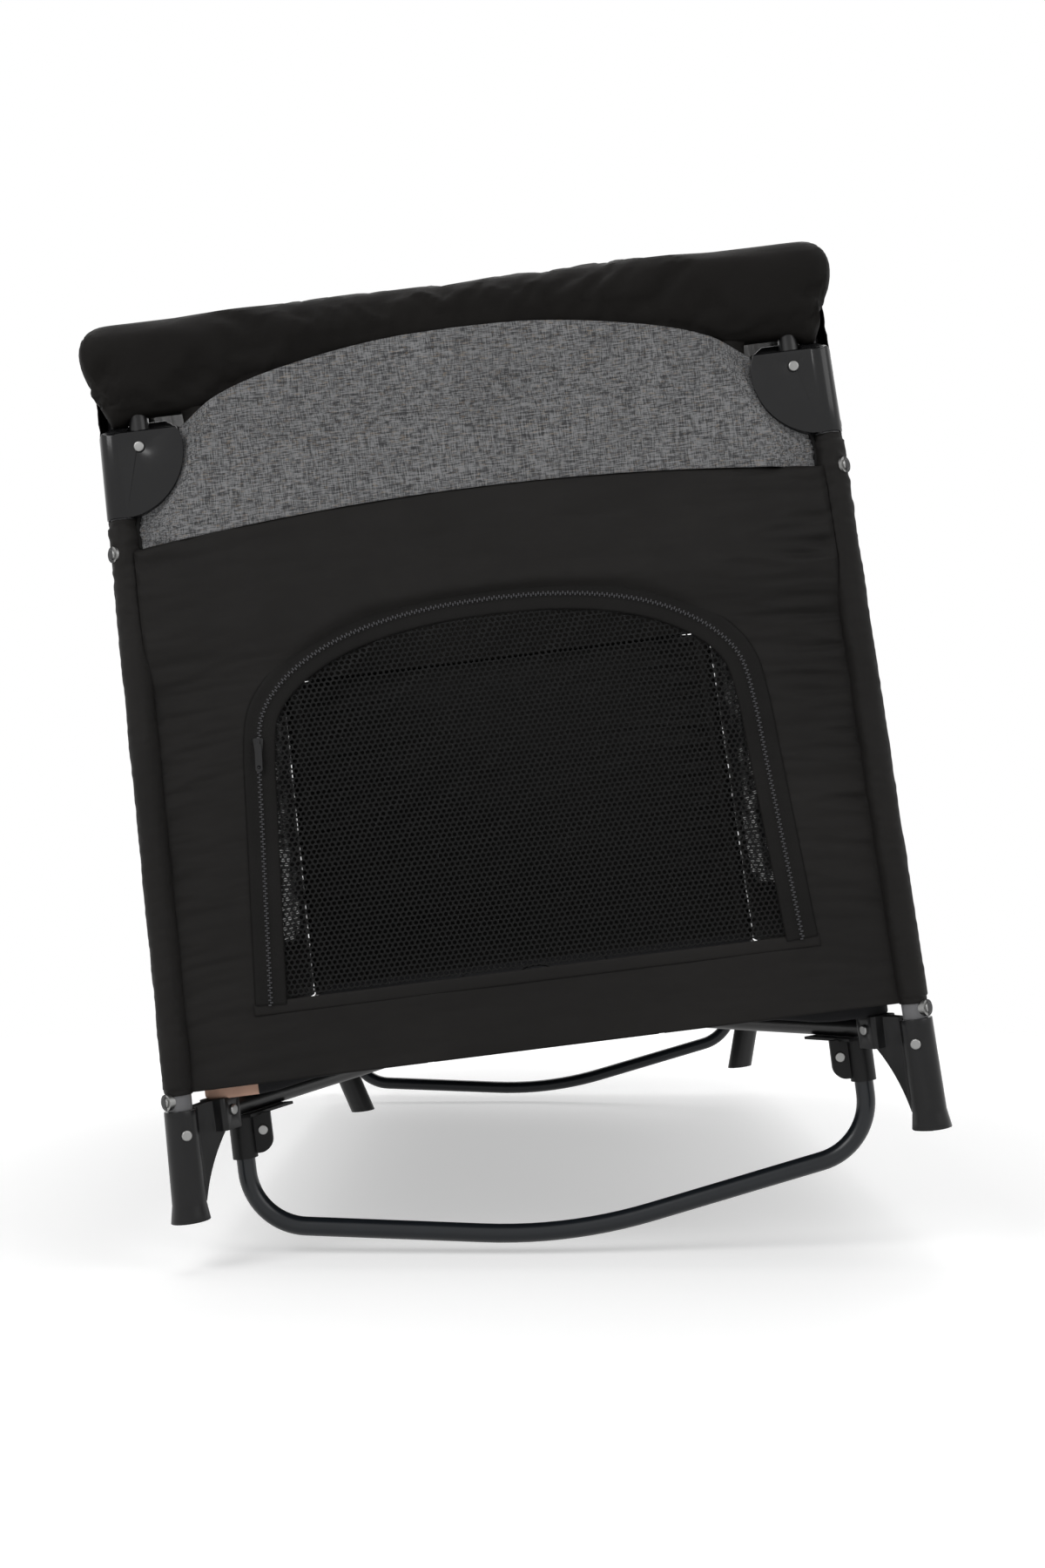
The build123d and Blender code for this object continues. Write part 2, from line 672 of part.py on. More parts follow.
def door_outline(low_h):
    """The zip line: straight sides that close in a little, then an arch."""
    with BuildSketch() as outline:
        with BuildLine():
            hem_x = door_low_x + (door_low_h - low_h) * (door_low_x - door_side_x) / (
                door_side_h - door_low_h)
            side = Line((hem_x, low_h), (door_side_x, door_side_h))
            shoulder = ThreePointArc(side @ 1, door_shoulder, door_crown_end)
            crown = ThreePointArc(
                shoulder @ 1, (0, door_top_h), (-door_crown_end[0], door_crown_end[1]))
            other = ThreePointArc(
                crown @ 1, (-door_shoulder[0], door_shoulder[1]), (-door_side_x, door_side_h))
            Polyline(other @ 1, (-hem_x, low_h), side @ 0)
        make_face()
    return outline.sketch


def above_hem(sketch, height):
    """What lies over the hem of a door outline."""
    with BuildSketch() as upper:
        add(sketch)
        with Locations((0, height)):
            Rectangle(4 * door_low_x, 4 * door_low_x, align=(Align.CENTER, Align.MIN),
                      mode=Mode.INTERSECT)
    return upper.sketch


door_line = door_outline(door_low_h - 4 * tape_half)
opening = above_hem(offset(door_line, tape_half + clearance), door_low_h - clearance)
tape_outer = above_hem(offset(door_line, tape_half), door_low_h)
tape_inner = above_hem(offset(door_line, -tape_half), door_low_h)
door_shape = above_hem(offset(door_line, -tape_half - clearance), door_low_h)


def seam_line(height):
    """The seam across the door end, as three points of its arc."""
    edge = wall_edge(seam_end_h)
    return (-edge, seam_end_h + height), (0, seam_end_h + seam_rise + height), (
        edge, seam_end_h + height)


with BuildSketch() as bracket_cut:
    offset(wing_outline.sketch, piping)
    with Locations((-1, rail_pivot_h)):
        Rectangle(bracket_reach + piping + 1, wall_top_h, align=(Align.MIN, Align.MIN))


def cut_round_brackets(half):
    """What the brackets at both ends of a wall take from it, half = post axis from its middle."""
    with BuildSketch() as cut:
        with Locations(Location((half, 0, 0), (0, 180, 0))):
            add(bracket_cut.sketch)
        with Locations((-half, 0)):
            add(bracket_cut.sketch)
    return cut.sketch


end_cut = cut_round_brackets(post_x)
side_cut = cut_round_brackets(post_y)

with BuildPart() as end_lower:
    with BuildSketch(end_wall):
        with BuildLine():
            seam = ThreePointArc(*seam_line(0))
            Polyline(seam @ 1, (wall_edge(wall_low_h), wall_low_h),
                     (-wall_edge(wall_low_h), wall_low_h), seam @ 0)
        make_face()
        add(opening, mode=Mode.SUBTRACT)
    extrude(amount=cloth / 2, both=True)
save(end_lower.part, "door_wall_lower")

with BuildPart() as end_upper:
    with BuildSketch(end_wall):
        with BuildLine():
            seam = ThreePointArc(*seam_line(clearance))
            Polyline(seam @ 1, (wall_edge(wall_top_h), wall_top_h),
                     (-wall_edge(wall_top_h), wall_top_h), seam @ 0)
        make_face()
        add(end_cut, mode=Mode.SUBTRACT)
    extrude(amount=cloth / 2, both=True)
save(end_upper.part, "door_wall_upper")

with BuildPart() as rear_wall:
    with BuildSketch(end_wall):
        with BuildLine():
            Polyline((wall_edge(wall_low_h), wall_low_h), (wall_edge(wall_top_h), wall_top_h),
                     (-wall_edge(wall_top_h), wall_top_h), (-wall_edge(wall_low_h), wall_low_h),
                     close=True)
        make_face()
        add(end_cut, mode=Mode.SUBTRACT)
    extrude(amount=cloth / 2, both=True)
save(placed(rear_wall.part, False, True), "rear_wall")

window_size = (2 * (post_y - window_margin_y), window_high_h - window_low_h)
window_middle = (0, (window_high_h + window_low_h) / 2)
with BuildPart() as long_wall:
    with BuildSketch(side_wall):
        with Locations((0, wall_low_h)):
            Rectangle(2 * (post_y - post_r - clearance), wall_top_h - wall_low_h,
                      align=(Align.CENTER, Align.MIN))
        add(side_cut, mode=Mode.SUBTRACT)
        with Locations(window_middle):
            RectangleRounded(*window_size, window_round, mode=Mode.SUBTRACT)
    extrude(amount=cloth / 2, both=True)
save_left_right(long_wall.part, "side_wall")

with BuildPart() as window:
    with BuildSketch(side_wall):
        with Locations(window_middle):
            RectangleRounded(window_size[0] - 2 * clearance, window_size[1] - 2 * clearance,
                             window_round - clearance)
    extrude(amount=mesh_thick / 2, both=True)
save_left_right(window.part, "side_mesh")

# ---- door, zip tape and slider ----
with BuildPart() as door_mesh:
    with BuildSketch(end_wall):
        add(door_shape)
    extrude(amount=mesh_thick / 2, both=True)
save(door_mesh.part, "door_mesh")

with BuildPart() as zip_tape:
    with BuildSketch(end_wall):
        add(tape_outer)
        add(tape_inner, mode=Mode.SUBTRACT)
    extrude(amount=cloth / 2, both=True)
save(zip_tape.part, "zip_tape")

slider_way = Vector(
    door_side_x - door_low_x, 0, door_side_h - door_low_h).normalized()
slider_plane = Plane(
    origin=(-door_side_x, -post_y - cloth / 2 - clearance, floor_z(door_side_h)),
    x_dir=(slider_way.Z, 0, slider_way.X), z_dir=(0, -1, 0))
with BuildPart() as zip_slider:
    with BuildSketch(slider_plane):
        with BuildLine():
            Polyline((-4.5, 0), (-3, -14), (3, -14), (4.5, 0), close=True)
        make_face()
    extrude(amount=slider_thick)
    fillet(zip_slider.edges().filter_by(Axis.Y), 1.5)
    with BuildSketch(slider_plane.offset(slider_thick)):
        with Locations((0, -5)):
            SlotOverall(8, 3, rotation=90)
    extrude(amount=2)
    with BuildSketch(slider_plane.offset(slider_thick + 0.6)):
        with Locations((0, -17)):
            RectangleRounded(6, 24, 2.5)
        with Locations((0, -25)):
            Circle(1.6, mode=Mode.SUBTRACT)
    extrude(amount=1.4)
save(zip_slider.part, "zip_slider")

# ---- floor mat, with a slot for the hub's strap ----
with BuildPart() as floor_mat:
    with BuildSketch(Plane.XY.offset(floor_z(hub_top_h + clearance))):
        RectangleRounded(2 * mat_half_x, 2 * mat_half_y, mat_round)
        RectangleRounded(2 * (strap_width + 5), strap_width + 10, 8, mode=Mode.SUBTRACT)
    extrude(amount=mat_thick)
    fillet(floor_mat.faces().sort_by(Axis.Z)[-1].outer_wire().edges(), mat_thick / 3)
save(floor_mat.part, "floor_mat")
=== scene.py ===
"""Looks of the folding playpen on rocker bars. Metres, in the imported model's frame."""
import json
import math

import bmesh
import bpy
from mathutils import Matrix, Vector, noise

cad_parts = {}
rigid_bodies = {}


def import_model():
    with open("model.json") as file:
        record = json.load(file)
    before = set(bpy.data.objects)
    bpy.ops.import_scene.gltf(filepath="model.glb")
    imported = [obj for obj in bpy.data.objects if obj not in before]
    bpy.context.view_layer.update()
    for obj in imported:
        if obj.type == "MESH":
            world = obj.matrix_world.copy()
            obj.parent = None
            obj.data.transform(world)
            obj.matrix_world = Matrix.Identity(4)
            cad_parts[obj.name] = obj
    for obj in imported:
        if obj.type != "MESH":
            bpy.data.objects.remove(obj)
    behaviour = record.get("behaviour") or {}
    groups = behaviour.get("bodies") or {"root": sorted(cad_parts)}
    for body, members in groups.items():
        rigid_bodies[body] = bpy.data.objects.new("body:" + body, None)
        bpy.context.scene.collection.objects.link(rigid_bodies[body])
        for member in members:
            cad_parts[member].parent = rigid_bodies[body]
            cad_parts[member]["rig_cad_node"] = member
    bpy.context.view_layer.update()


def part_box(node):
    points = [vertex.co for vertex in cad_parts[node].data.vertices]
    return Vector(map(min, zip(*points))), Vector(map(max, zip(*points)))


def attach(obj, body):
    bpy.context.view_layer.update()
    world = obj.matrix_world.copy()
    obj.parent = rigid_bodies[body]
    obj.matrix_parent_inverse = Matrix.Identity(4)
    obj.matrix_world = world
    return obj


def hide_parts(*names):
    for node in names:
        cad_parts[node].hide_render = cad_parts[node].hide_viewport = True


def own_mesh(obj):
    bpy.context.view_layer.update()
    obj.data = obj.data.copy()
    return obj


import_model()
nodes = {node["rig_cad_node"]: node for node in bpy.context.scene.objects
         if "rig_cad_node" in node}

MM = 0.001
ROOT3 = math.sqrt(3)

# ---- places, read from the frame where a node has them ----
SOLE_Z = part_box("foot_fr")[0].z
POST_Y = 585 * MM
POST_X = 0.305                          # the posts' axes stand here, this far above the soles,
POST_X_ABOVE = 0.6605
LEAN = math.tan(math.radians(1.07))     # and further out below, by this slope
WALL_LOW_H = 108                        # the walls' lower edge, in millimetres above the soles


def post_x(z):
    """The post's axis, from the middle of the end, at a height."""
    return POST_X + (SOLE_Z + POST_X_ABOVE - z) * LEAN


# ---- shader maths ----
class Value:
    """A shader socket with the usual operators."""

    def __init__(self, tree, socket):
        self.tree = tree
        self.socket = socket

    def math(self, operation, *others, swap=False):
        node = self.tree.nodes.new("ShaderNodeMath")
        node.operation = operation
        items = (*others, self) if swap else (self, *others)
        for slot, item in zip(node.inputs, items):
            if isinstance(item, Value):
                self.tree.links.new(item.socket, slot)
            else:
                slot.default_value = item
        return Value(self.tree, node.outputs[0])

    def __add__(self, other):
        return self.math("ADD", other)

    def __sub__(self, other):
        return self.math("SUBTRACT", other)

    def __mul__(self, other):
        return self.math("MULTIPLY", other)

    def __truediv__(self, other):
        return self.math("DIVIDE", other)

    def __rsub__(self, other):
        return self.math("SUBTRACT", other, swap=True)

    __radd__ = __add__
    __rmul__ = __mul__

    def sin(self):
        return self.math("SINE")

    def abs(self):
        return self.math("ABSOLUTE")

    def fract(self):
        return self.math("FRACT")

    def floor(self):
        return self.math("FLOOR")

    def max(self, other):
        return self.math("MAXIMUM", other)

    def min(self, other):
        return self.math("MINIMUM", other)


class Finish:
    """A Principled material being built. Same-all-over numbers go on the shader's own sockets."""

    def __init__(self, name, color, roughness, metallic=0.0, **constants):
        self.material = bpy.data.materials.new(name)
        self.material.use_nodes = True
        self.tree = self.material.node_tree
        self.bsdf = self.tree.nodes["Principled BSDF"]
        constants.update(Roughness=roughness, Metallic=metallic)
        for label, value in constants.items():
            self.bsdf.inputs[label.replace("_", " ")].default_value = value
        self.bsdf.inputs["Base Color"].default_value = (*color, 1)
        self.place = self.node("ShaderNodeTexCoord", out="Object")
        split = self.node("ShaderNodeSeparateXYZ", inputs={0: self.place}, out=None)
        self.x, self.y, self.z = (Value(self.tree, s) for s in split.outputs)
        self.normal = None

    def node(self, kind, settings=None, inputs=None, out=0):
        """A node of a kind, its settings made first, then its sockets' values and links."""
        made = self.tree.nodes.new(kind)
        for label, value in (settings or {}).items():
            setattr(made, label, value)
        for slot, value in (inputs or {}).items():
            if isinstance(value, Value):
                self.tree.links.new(value.socket, made.inputs[slot])
            else:
                made.inputs[slot].default_value = value
        return made if out is None else Value(self.tree, made.outputs[out])

    def noise(self, scale, detail=3.0, stretch=(1, 1, 1), roughness=0.5):
        vector = self.node("ShaderNodeMapping", inputs={
            "Vector": self.place, "Scale": [scale * s for s in stretch]})
        return self.node("ShaderNodeTexNoise", inputs={
            "Vector": vector, "Scale": 1.0, "Detail": detail, "Roughness": roughness})

    def step(self, value, low, high):
        """0 at low, 1 at high, smooth between."""
        return self.node("ShaderNodeMapRange", {"interpolation_type": "SMOOTHSTEP"},
                         {"Value": value, "From Min": low, "From Max": high}, "Result")

    def mix(self, factor, low, high):
        """A colour between two colours."""
        low, high = ((*c, 1) if isinstance(c, tuple) else c for c in (low, high))
        return self.node("ShaderNodeMix", {"data_type": "RGBA"},
                         {0: factor, 6: low, 7: high}, 2)

    def set(self, label, value):
        self.tree.links.new(value.socket, self.bsdf.inputs[label])

    def bump(self, height, distance, strength=1.0):
        inputs = {"Height": height, "Distance": distance, "Strength": strength}
        if self.normal:
            inputs["Normal"] = self.normal
        self.normal = self.node("ShaderNodeBump", inputs=inputs)
        self.set("Normal", self.normal)


# ---- finishes ----
def scaled(color, factor):
    return tuple(c * factor for c in color)


def cloth(name, color, roughness, pitch, shine, slub=70):
    """Plain-woven cloth that faces X or Y, lying close to upright."""
    finish = Finish(name, color, roughness, Specular_IOR_Level=shine)
    mottle = finish.step(finish.noise(9, 4), 0.3, 0.7)
    finish.set("Base Color", finish.mix(mottle, color, scaled(color, 1.3)))
    finish.set("Roughness", finish.noise(40) * 0.16 + (roughness - 0.08))
    side = finish.x + finish.y
    threads = (side * (math.pi / pitch)).sin().abs() * (finish.z * (math.pi / pitch)).sin().abs()
    over = ((side / pitch).floor() + (finish.z / pitch).floor()) * 0.5
    finish.bump(threads + over.fract(), 0.15 * MM, 0.5)
    finish.bump(finish.noise(slub, 4, (1, 1, 2.5)), 0.7 * MM, 0.35)
    return finish.material


def melange(name):
    """Heathered weave: pale and dark threads both ways, a few of them warm."""
    finish = Finish(name, (0.1, 0.1, 0.104), 0.85, Specular_IOR_Level=0.15)
    weft = finish.noise(1000, 2.5, (0.11, 1, 1.1), 0.6)
    warp = finish.noise(1000, 2.5, (1.1, 1, 0.11), 0.6)
    pale = finish.step(weft * 0.55 + warp * 0.45, 0.39, 0.61)
    thread = finish.mix(pale, (0.044, 0.044, 0.046), (0.225, 0.227, 0.231))
    fleck = finish.step(finish.noise(420, 2, (0.4, 1, 2.2)), 0.60, 0.68)
    warm = finish.mix(fleck * 0.4, thread, (0.26, 0.20, 0.14))
    cloud = finish.step(finish.noise(14), 0.3, 0.75)
    finish.set("Base Color", finish.mix(cloud * 0.16, warm, (0.05, 0.05, 0.052)))
    finish.bump(weft + warp, 0.3 * MM, 0.5)
    return finish.material


def hex_mesh(name, pitch, wire):
    """Warp-knit mesh: hexagonal holes by alpha, in a cloth that stands upright."""
    finish = Finish(name, (0.007, 0.007, 0.007), 0.6, Specular_IOR_Level=0.1)
    across = (finish.x + finish.y) / pitch
    up = finish.z / (pitch * ROOT3)
    reach = None
    # two sets of cells half a cell apart, counted from far off so that no number is negative
    for start in (500.0, 500.5):
        x = ((across + start).fract() - 0.5).abs()
        z = ((up + start).fract() - 0.5).abs() * ROOT3
        cell = x.max(x * 0.5 + z * (ROOT3 / 2))
        reach = cell if reach is None else reach.min(cell)
    finish.set("Alpha", finish.step(reach, 0.5 - wire, 0.5 - wire * 0.6))
    finish.bump(reach, 0.4 * MM, 0.8)
    return finish.material


def plastic(name, color, roughness, grain, coat=0.0):
    finish = Finish(name, color, roughness, Coat_Weight=coat, Coat_Roughness=0.12,
                    Specular_IOR_Level=0.2)
    scuff = finish.step(finish.noise(26, 5), 0.35, 0.75)
    finish.set("Roughness", scuff * 0.12 + (roughness - 0.05))
    finish.set("Base Color", finish.mix(scuff * 0.4, color, scaled(color, 1.5)))
    finish.bump(finish.noise(grain), 0.08 * MM, 0.35)
    return finish.material


def paint(name, color, roughness):
    finish = Finish(name, color, roughness, Coat_Weight=0.2, Coat_Roughness=0.22,
                    Specular_IOR_Level=0.25)
    finish.set("Roughness", finish.noise(18, 4) * 0.14 + (roughness - 0.07))
    wear = finish.step(finish.noise(30, 5), 0.45, 0.8)
    finish.set("Base Color", finish.mix(wear, color, scaled(color, 1.25)))
    finish.bump(finish.noise(420, 2), 0.05 * MM, 0.5)
    return finish.material


def metal(name, color, roughness):
    finish = Finish(name, color, roughness, 1.0)
    finish.set("Roughness", finish.noise(300, 4) * 0.25 + (roughness - 0.1))
    finish.bump(finish.noise(900, 2), 0.04 * MM, 0.4)
    return finish.material


def fasteners(name, color, roughness):
    """Metal screws, with black bosses under the heads at the posts' outer sides."""
    finish = Finish(name, color, roughness, 1.0)
    lateral = finish.x.abs() + finish.z * LEAN - post_x(0)
    boss = finish.step(lateral, 8.5 * MM, 9 * MM) * (1 - finish.step(lateral, 14 * MM, 14.3 * MM))
    finish.set("Base Color", finish.mix(boss, color, (0.006, 0.006, 0.0064)))
    finish.set("Metallic", 1 - boss)
    finish.set("Roughness", finish.noise(300, 4) * 0.25 + (roughness - 0.1))
    finish.bump(finish.noise(900, 2), 0.04 * MM, 0.4)
    return finish.material


def backing(name, color):
    """Non-woven backing of the mat."""
    finish = Finish(name, color, 0.9)
    mottle = finish.step(finish.noise(60, 5), 0.35, 0.7)
    finish.set("Base Color", finish.mix(mottle, scaled(color, 0.86), color))
    finish.bump(finish.noise(700, 2), 0.2 * MM, 0.6)
    return finish.material


COVER = cloth("cover_cloth", (0.0052, 0.0046, 0.0041), 0.58, 0.5 * MM, 0.08)
WALL = cloth("wall_cloth", (0.0090, 0.0083, 0.0078), 0.55, 0.4 * MM, 0.12)
LINING = cloth("lining_cloth", (0.009, 0.0082, 0.0075), 0.7, 0.6 * MM, 0.1)
PIPING = cloth("piping_cloth", (0.005, 0.0048, 0.0046), 0.5, 0.6 * MM, 0.1)
TAPE = cloth("zip_tape_cloth", (0.0075, 0.0071, 0.0068), 0.65, 1.1 * MM, 0.1)
WEBBING = cloth("webbing", (0.012, 0.012, 0.012), 0.7, 1.4 * MM, 0.1)
MELANGE = melange("grey_melange")
MESH = hex_mesh("hex_mesh", 4.8 * MM, 0.22)
SIDE_MESH = hex_mesh("fine_mesh", 3.4 * MM, 0.40)
GLOSS = plastic("gloss_bracket", (0.0065, 0.0065, 0.007), 0.24, 500, 0.2)
FOOT = plastic("foot_plastic", (0.006, 0.006, 0.0064), 0.34, 900, 0.1)
SADDLE = plastic("saddle_plastic", (0.0055, 0.0055, 0.0057), 0.45, 900)
BAR = paint("bar_paint", (0.0085, 0.0105, 0.0132), 0.32)
TUBE = paint("tube_paint", (0.005, 0.005, 0.0053), 0.4)
PALE_TUBE = paint("post_paint", (0.13, 0.13, 0.135), 0.38)
ZINC = metal("zinc", (0.28, 0.28, 0.275), 0.34)
SCREWS = fasteners("corner_screws", (0.28, 0.28, 0.275), 0.34)
TEETH = metal("zip_teeth", (0.06, 0.06, 0.063), 0.4)
SLIDER = paint("slider_paint", (0.006, 0.006, 0.0065), 0.35)
MAT = backing("mat_backing", (0.58, 0.36, 0.27))
# the mat's dark cloth: partly its own colour, partly painted shade inside the playpen, on every
# face but the lit corner
MAT_PAINTED_SHADE = cloth("mat_cloth_painted_shade", (0.014, 0.014, 0.015), 0.75, 0.8 * MM, 0.1)


# ---- CAD nodes that stay: finish and smooth shading ----
CORNERS = ("fl", "fr", "rl", "rr")
kept = {
    GLOSS: [f"corner_bracket_{c}" for c in CORNERS],
    FOOT: [f"foot_{c}" for c in CORNERS],
    PALE_TUBE: [f"post_{c}" for c in CORNERS],
    TUBE: ([f"{kind}_{c}" for kind in ("base_tube", "end_rail", "side_rail") for c in CORNERS]
           + ["centre_strut_left", "centre_strut_right", "centre_leg_left",
              "centre_leg_right"]),
    SADDLE: (["hub", "rocker_brackets_front", "rocker_brackets_rear"]
             + [f"rail_latch_{side}" for side in ("front", "rear", "left", "right")]),
    BAR: ["rocker_bar_front", "rocker_bar_rear"],
    SLIDER: ["zip_slider"],
    ZINC: ["hub_pins", "rocker_screws_front", "rocker_screws_rear"],
    SCREWS: [f"corner_fasteners_{c}" for c in CORNERS],
}
for finish, names in kept.items():
    for name in names:
        node = nodes[name]
        node.data.materials.clear()
        node.data.materials.append(finish)
        weld = node.modifiers.new("weld", "WELD")
        weld.merge_threshold = 0.01 * MM
        if finish in (GLOSS, FOOT):
            rim = node.modifiers.new("rim", "BEVEL")
            rim.width = 0.7 * MM
            rim.segments = 2
            rim.limit_method = "ANGLE"
            rim.angle_limit = math.radians(40)
            rim.use_clamp_overlap = False
        edges = node.modifiers.new("smooth", "EDGE_SPLIT")
        edges.split_angle = math.radians(32)
        for face in node.data.polygons:
            face.use_smooth = True


# ---- making pieces ----
def h(height):
    """The frame's height in metres of a height above the soles in millimetres."""
    return SOLE_Z + height * MM


def smooth_line(points, count):
    """The points of a smooth line through the given ones, evenly spaced."""
    points = [Vector(p) for p in points]
    ends = [points[0] * 2 - points[1], *points, points[-1] * 2 - points[-2]]
    fine = []
    for a, b, c, d in zip(ends, ends[1:], ends[2:], ends[3:]):
        for step in range(24):
            t = step / 24
            fine.append(0.5 * (2 * b + (c - a) * t + (2 * a - 5 * b + 4 * c - d) * t ** 2
                               + (3 * b - a - 3 * c + d) * t ** 3))
    fine.append(points[-1])
    return evenly(fine, count)


def evenly(line, count):
    lengths = [0.0]
    for a, b in zip(line, line[1:]):
        lengths.append(lengths[-1] + (b - a).length)
    out = []
    i = 0
    for k in range(count):
        want = lengths[-1] * k / (count - 1)
        while i < len(line) - 2 and lengths[i + 1] < want:
            i += 1
        span = lengths[i + 1] - lengths[i] or 1
        out.append(line[i].lerp(line[i + 1], (want - lengths[i]) / span))
    return out


def along(line, t):
    """A point on a line of even points, at t from 0 to 1."""
    place = min(max(t, 0), 1) * (len(line) - 1)
    i = min(int(place), len(line) - 2)
    return line[i].lerp(line[i + 1], place - i)


def finished(name, shape, finishes, body, smooth=True):
    """An object of a bmesh, in its finish, on its body."""
    mesh = bpy.data.meshes.new(name)
    shape.to_mesh(mesh)
    shape.free()
    made = bpy.data.objects.new(name, mesh)
    bpy.context.scene.collection.objects.link(made)
    for finish in finishes if isinstance(finishes, list) else [finishes]:
        mesh.materials.append(finish)
    for face in mesh.polygons:
        face.use_smooth = smooth
    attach(made, body)
    return made


def surface(columns, rows, place, closed=False):
    """A grid laid where place(u, v) says, u and v from 0 to 1, seams welded."""
    shape = bmesh.new()
    bmesh.ops.create_grid(shape, x_segments=columns, y_segments=rows, size=0.5)
    for vertex in shape.verts:
        vertex.co = place(vertex.co.x + 0.5, vertex.co.y + 0.5)
    if closed:
        bmesh.ops.remove_doubles(shape, verts=shape.verts, dist=0.02 * MM)
        bmesh.ops.recalc_face_normals(shape, faces=shape.faces)
    return shape


def facing(shape, way):
    """Turn the faces of an open sheet towards a direction."""
    total = Vector((0, 0, 0))
    for face in shape.faces:
        total += face.normal * face.calc_area()
    if total.dot(Vector(way)) < 0:
        bmesh.ops.reverse_faces(shape, faces=shape.faces)
    return shape


def tube(line, radius, sides=10, flatten=1.0):
    """A round cord of cloth or metal along a line, closed at its ends. flatten acts along Y."""
    count = len(line) + 3

    def place(u, v):
        k = min(max(round(u * count) - 2, 0), len(line) - 1)
        a, b = line[max(k - 1, 0)], line[min(k + 1, len(line) - 1)]
        way = (b - a).normalized()
        side = Vector((0, 1, 0))
        if abs(way.y) > 0.9:
            side = Vector((0, 0, 1))
        side = (side - way * side.dot(way)).normalized()
        other = way.cross(side)
        angle = 2 * math.pi * v
        size = radius if 0 < round(u * count) < count else 0.0
        return (line[k] + side * (math.cos(angle) * size * flatten)
                + other * (math.sin(angle) * size))
    return surface(count, sides, place, closed=True)


def strip(line, half, across, place_y, lift):
    """A flat strip along a line in an end's plane; lift(a) is how far its middle stands out."""
    way = [(line[min(k + 1, len(line) - 1)] - line[max(k - 1, 0)]).normalized()
           for k in range(len(line))]

    def place(u, v):
        k = round(u * (len(line) - 1))
        a = 2 * v - 1
        side = Vector((way[k].z, 0, -way[k].x))
        point = line[k] + side * (half * a)
        point.y = place_y(point.x, point.z) - lift(a)
        return point
    return surface(len(line) - 1, across, place)


def thicken(made, thickness, offset=0.0):
    solid = made.modifiers.new("thickness", "SOLIDIFY")
    solid.thickness = thickness
    solid.offset = offset
    solid.use_even_offset = False
    return made


def ripple(x, z, long, short, seed):
    """Creases that run along the first direction, from -1 to 1."""
    value = noise.noise(Vector((x / long, z / short, seed)))
    return value + 0.5 * noise.noise(Vector((x / long * 2.1, z / short * 2.3, seed + 9)))


def squash_across(made):
    """Gives an end piece its own copy of its mesh data."""
    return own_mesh(made)


def squash_along(made):
    """Gives a side piece its own copy of its mesh data."""
    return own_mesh(made)


# ---- outlines of the door end, x and height above the soles in millimetres ----
ARCH = [(0, 728), (56, 726.5), (100, 722), (140, 715.5), (176, 708), (205, 699), (230, 687),
        (248, 675)]
CUT = [(248, 675), (253, 658), (263, 640), (275, 621), (287, 606), (292, 590), (291, 572)]
ZIP = [(228, 173), (222, 260), (217, 330), (213, 385), (206, 420), (187, 445), (160, 464),
       (128, 478), (88, 488), (44, 493.5), (0, 495)]
FRONT_Y = -586.2 * MM


def end_line(points, count, y):
    return smooth_line([(x * MM, y, h(z)) for x, z in points], count)


SEAM_HALF = 0.2925                      # the seam's reach to either side


def seam_h(x):
    """Height of the seam between the two panels, at x in metres."""
    share = x / SEAM_HALF
    return h(572 + 18.5 * (1 - share * share))


# The cloth lies outside the rails, which turn down behind it as the frame folds.
OUTSIDE = 9.5 * MM


def wrinkles(x, z, y, seed=0.0):
    """Where a thin end cloth lies, outwards being -Y: its pulls and soft waves."""
    to_post = max(post_x(z) - 9 * MM - abs(x), 0)
    near = math.exp(-to_post / 0.06) * min(to_post / 0.006, 1)
    high = min(max((z - SOLE_Z) / 0.6, 0), 1)
    strength = (0.35 + 0.75 * high) * (1.3 if x > 0 else 0.9)
    pulled = ripple(abs(x), z + 0.10 * abs(x), 0.11, 0.017, 3 + seed + (x > 0))
    side = near * (3.6 * (0.6 - abs(pulled) * 1.9) + 2.2 * pulled)
    broad = 1.5 * ripple(x, z, 0.19, 0.055, 11 + seed)
    fine = 0.5 * ripple(x, z, 0.06, 0.016, 17 + seed)
    return y - (side * strength + broad * 0.8 + fine) * MM


def arch_top(x):
    """Height of the grey panel's top edge, at x in metres."""
    reach = abs(x) / MM
    for (xa, za), (xb, zb) in zip(ARCH, ARCH[1:]):
        if reach <= xb:
            return h(za + (zb - za) * (reach - xa) / (xb - xa))
    return h(640)


def smooth_step(value, low, high):
    t = min(max((value - low) / (high - low), 0), 1)
    return t * t * (3 - 2 * t)


# ---- front end: lower wall round the door ----
half_zip = end_line(ZIP, 160, FRONT_Y)
mirrored = [Vector((-p.x, p.y, p.z)) for p in half_zip]
zip_line = evenly(mirrored + half_zip[-2::-1], 420)


def ring_edges(count_side, count_top, count_hem):
    """Matching inner and outer points round the door, from the hem's left end clockwise."""
    inner, outer = [], []
    low = h(WALL_LOW_H)
    rise = seam_h(0.29) - low
    edge = 0.009                        # short of the posts' axes
    split = int(len(zip_line) * 0.40)

    def post_side(t, side):
        """A point on the wall's edge beside a post, t from 0 below to 1 above."""
        z = low + t * rise
        return Vector((side * (post_x(z) - edge), FRONT_Y, z))
    parts = ((zip_line[:split + 1], count_side, lambda t: post_side(t, -1)),
             (zip_line[split:-split], count_top,
              lambda t: Vector((-0.2955 + t * 0.591, FRONT_Y,
                                seam_h(t * 2 * SEAM_HALF - SEAM_HALF)))),
             (zip_line[-split - 1:], count_side, lambda t: post_side(1 - t, 1)),
             ([zip_line[-1], zip_line[0]], count_hem,
              lambda t: Vector((0.3055 - t * 0.611, FRONT_Y, low))))
    for line, count, edge_point in parts:
        inner += evenly(line, count + 1)[:-1]
        outer += [edge_point(k / count) for k in range(count)]
    return inner + inner[:1], outer + outer[:1]


inner, outer = ring_edges(230, 150, 190)


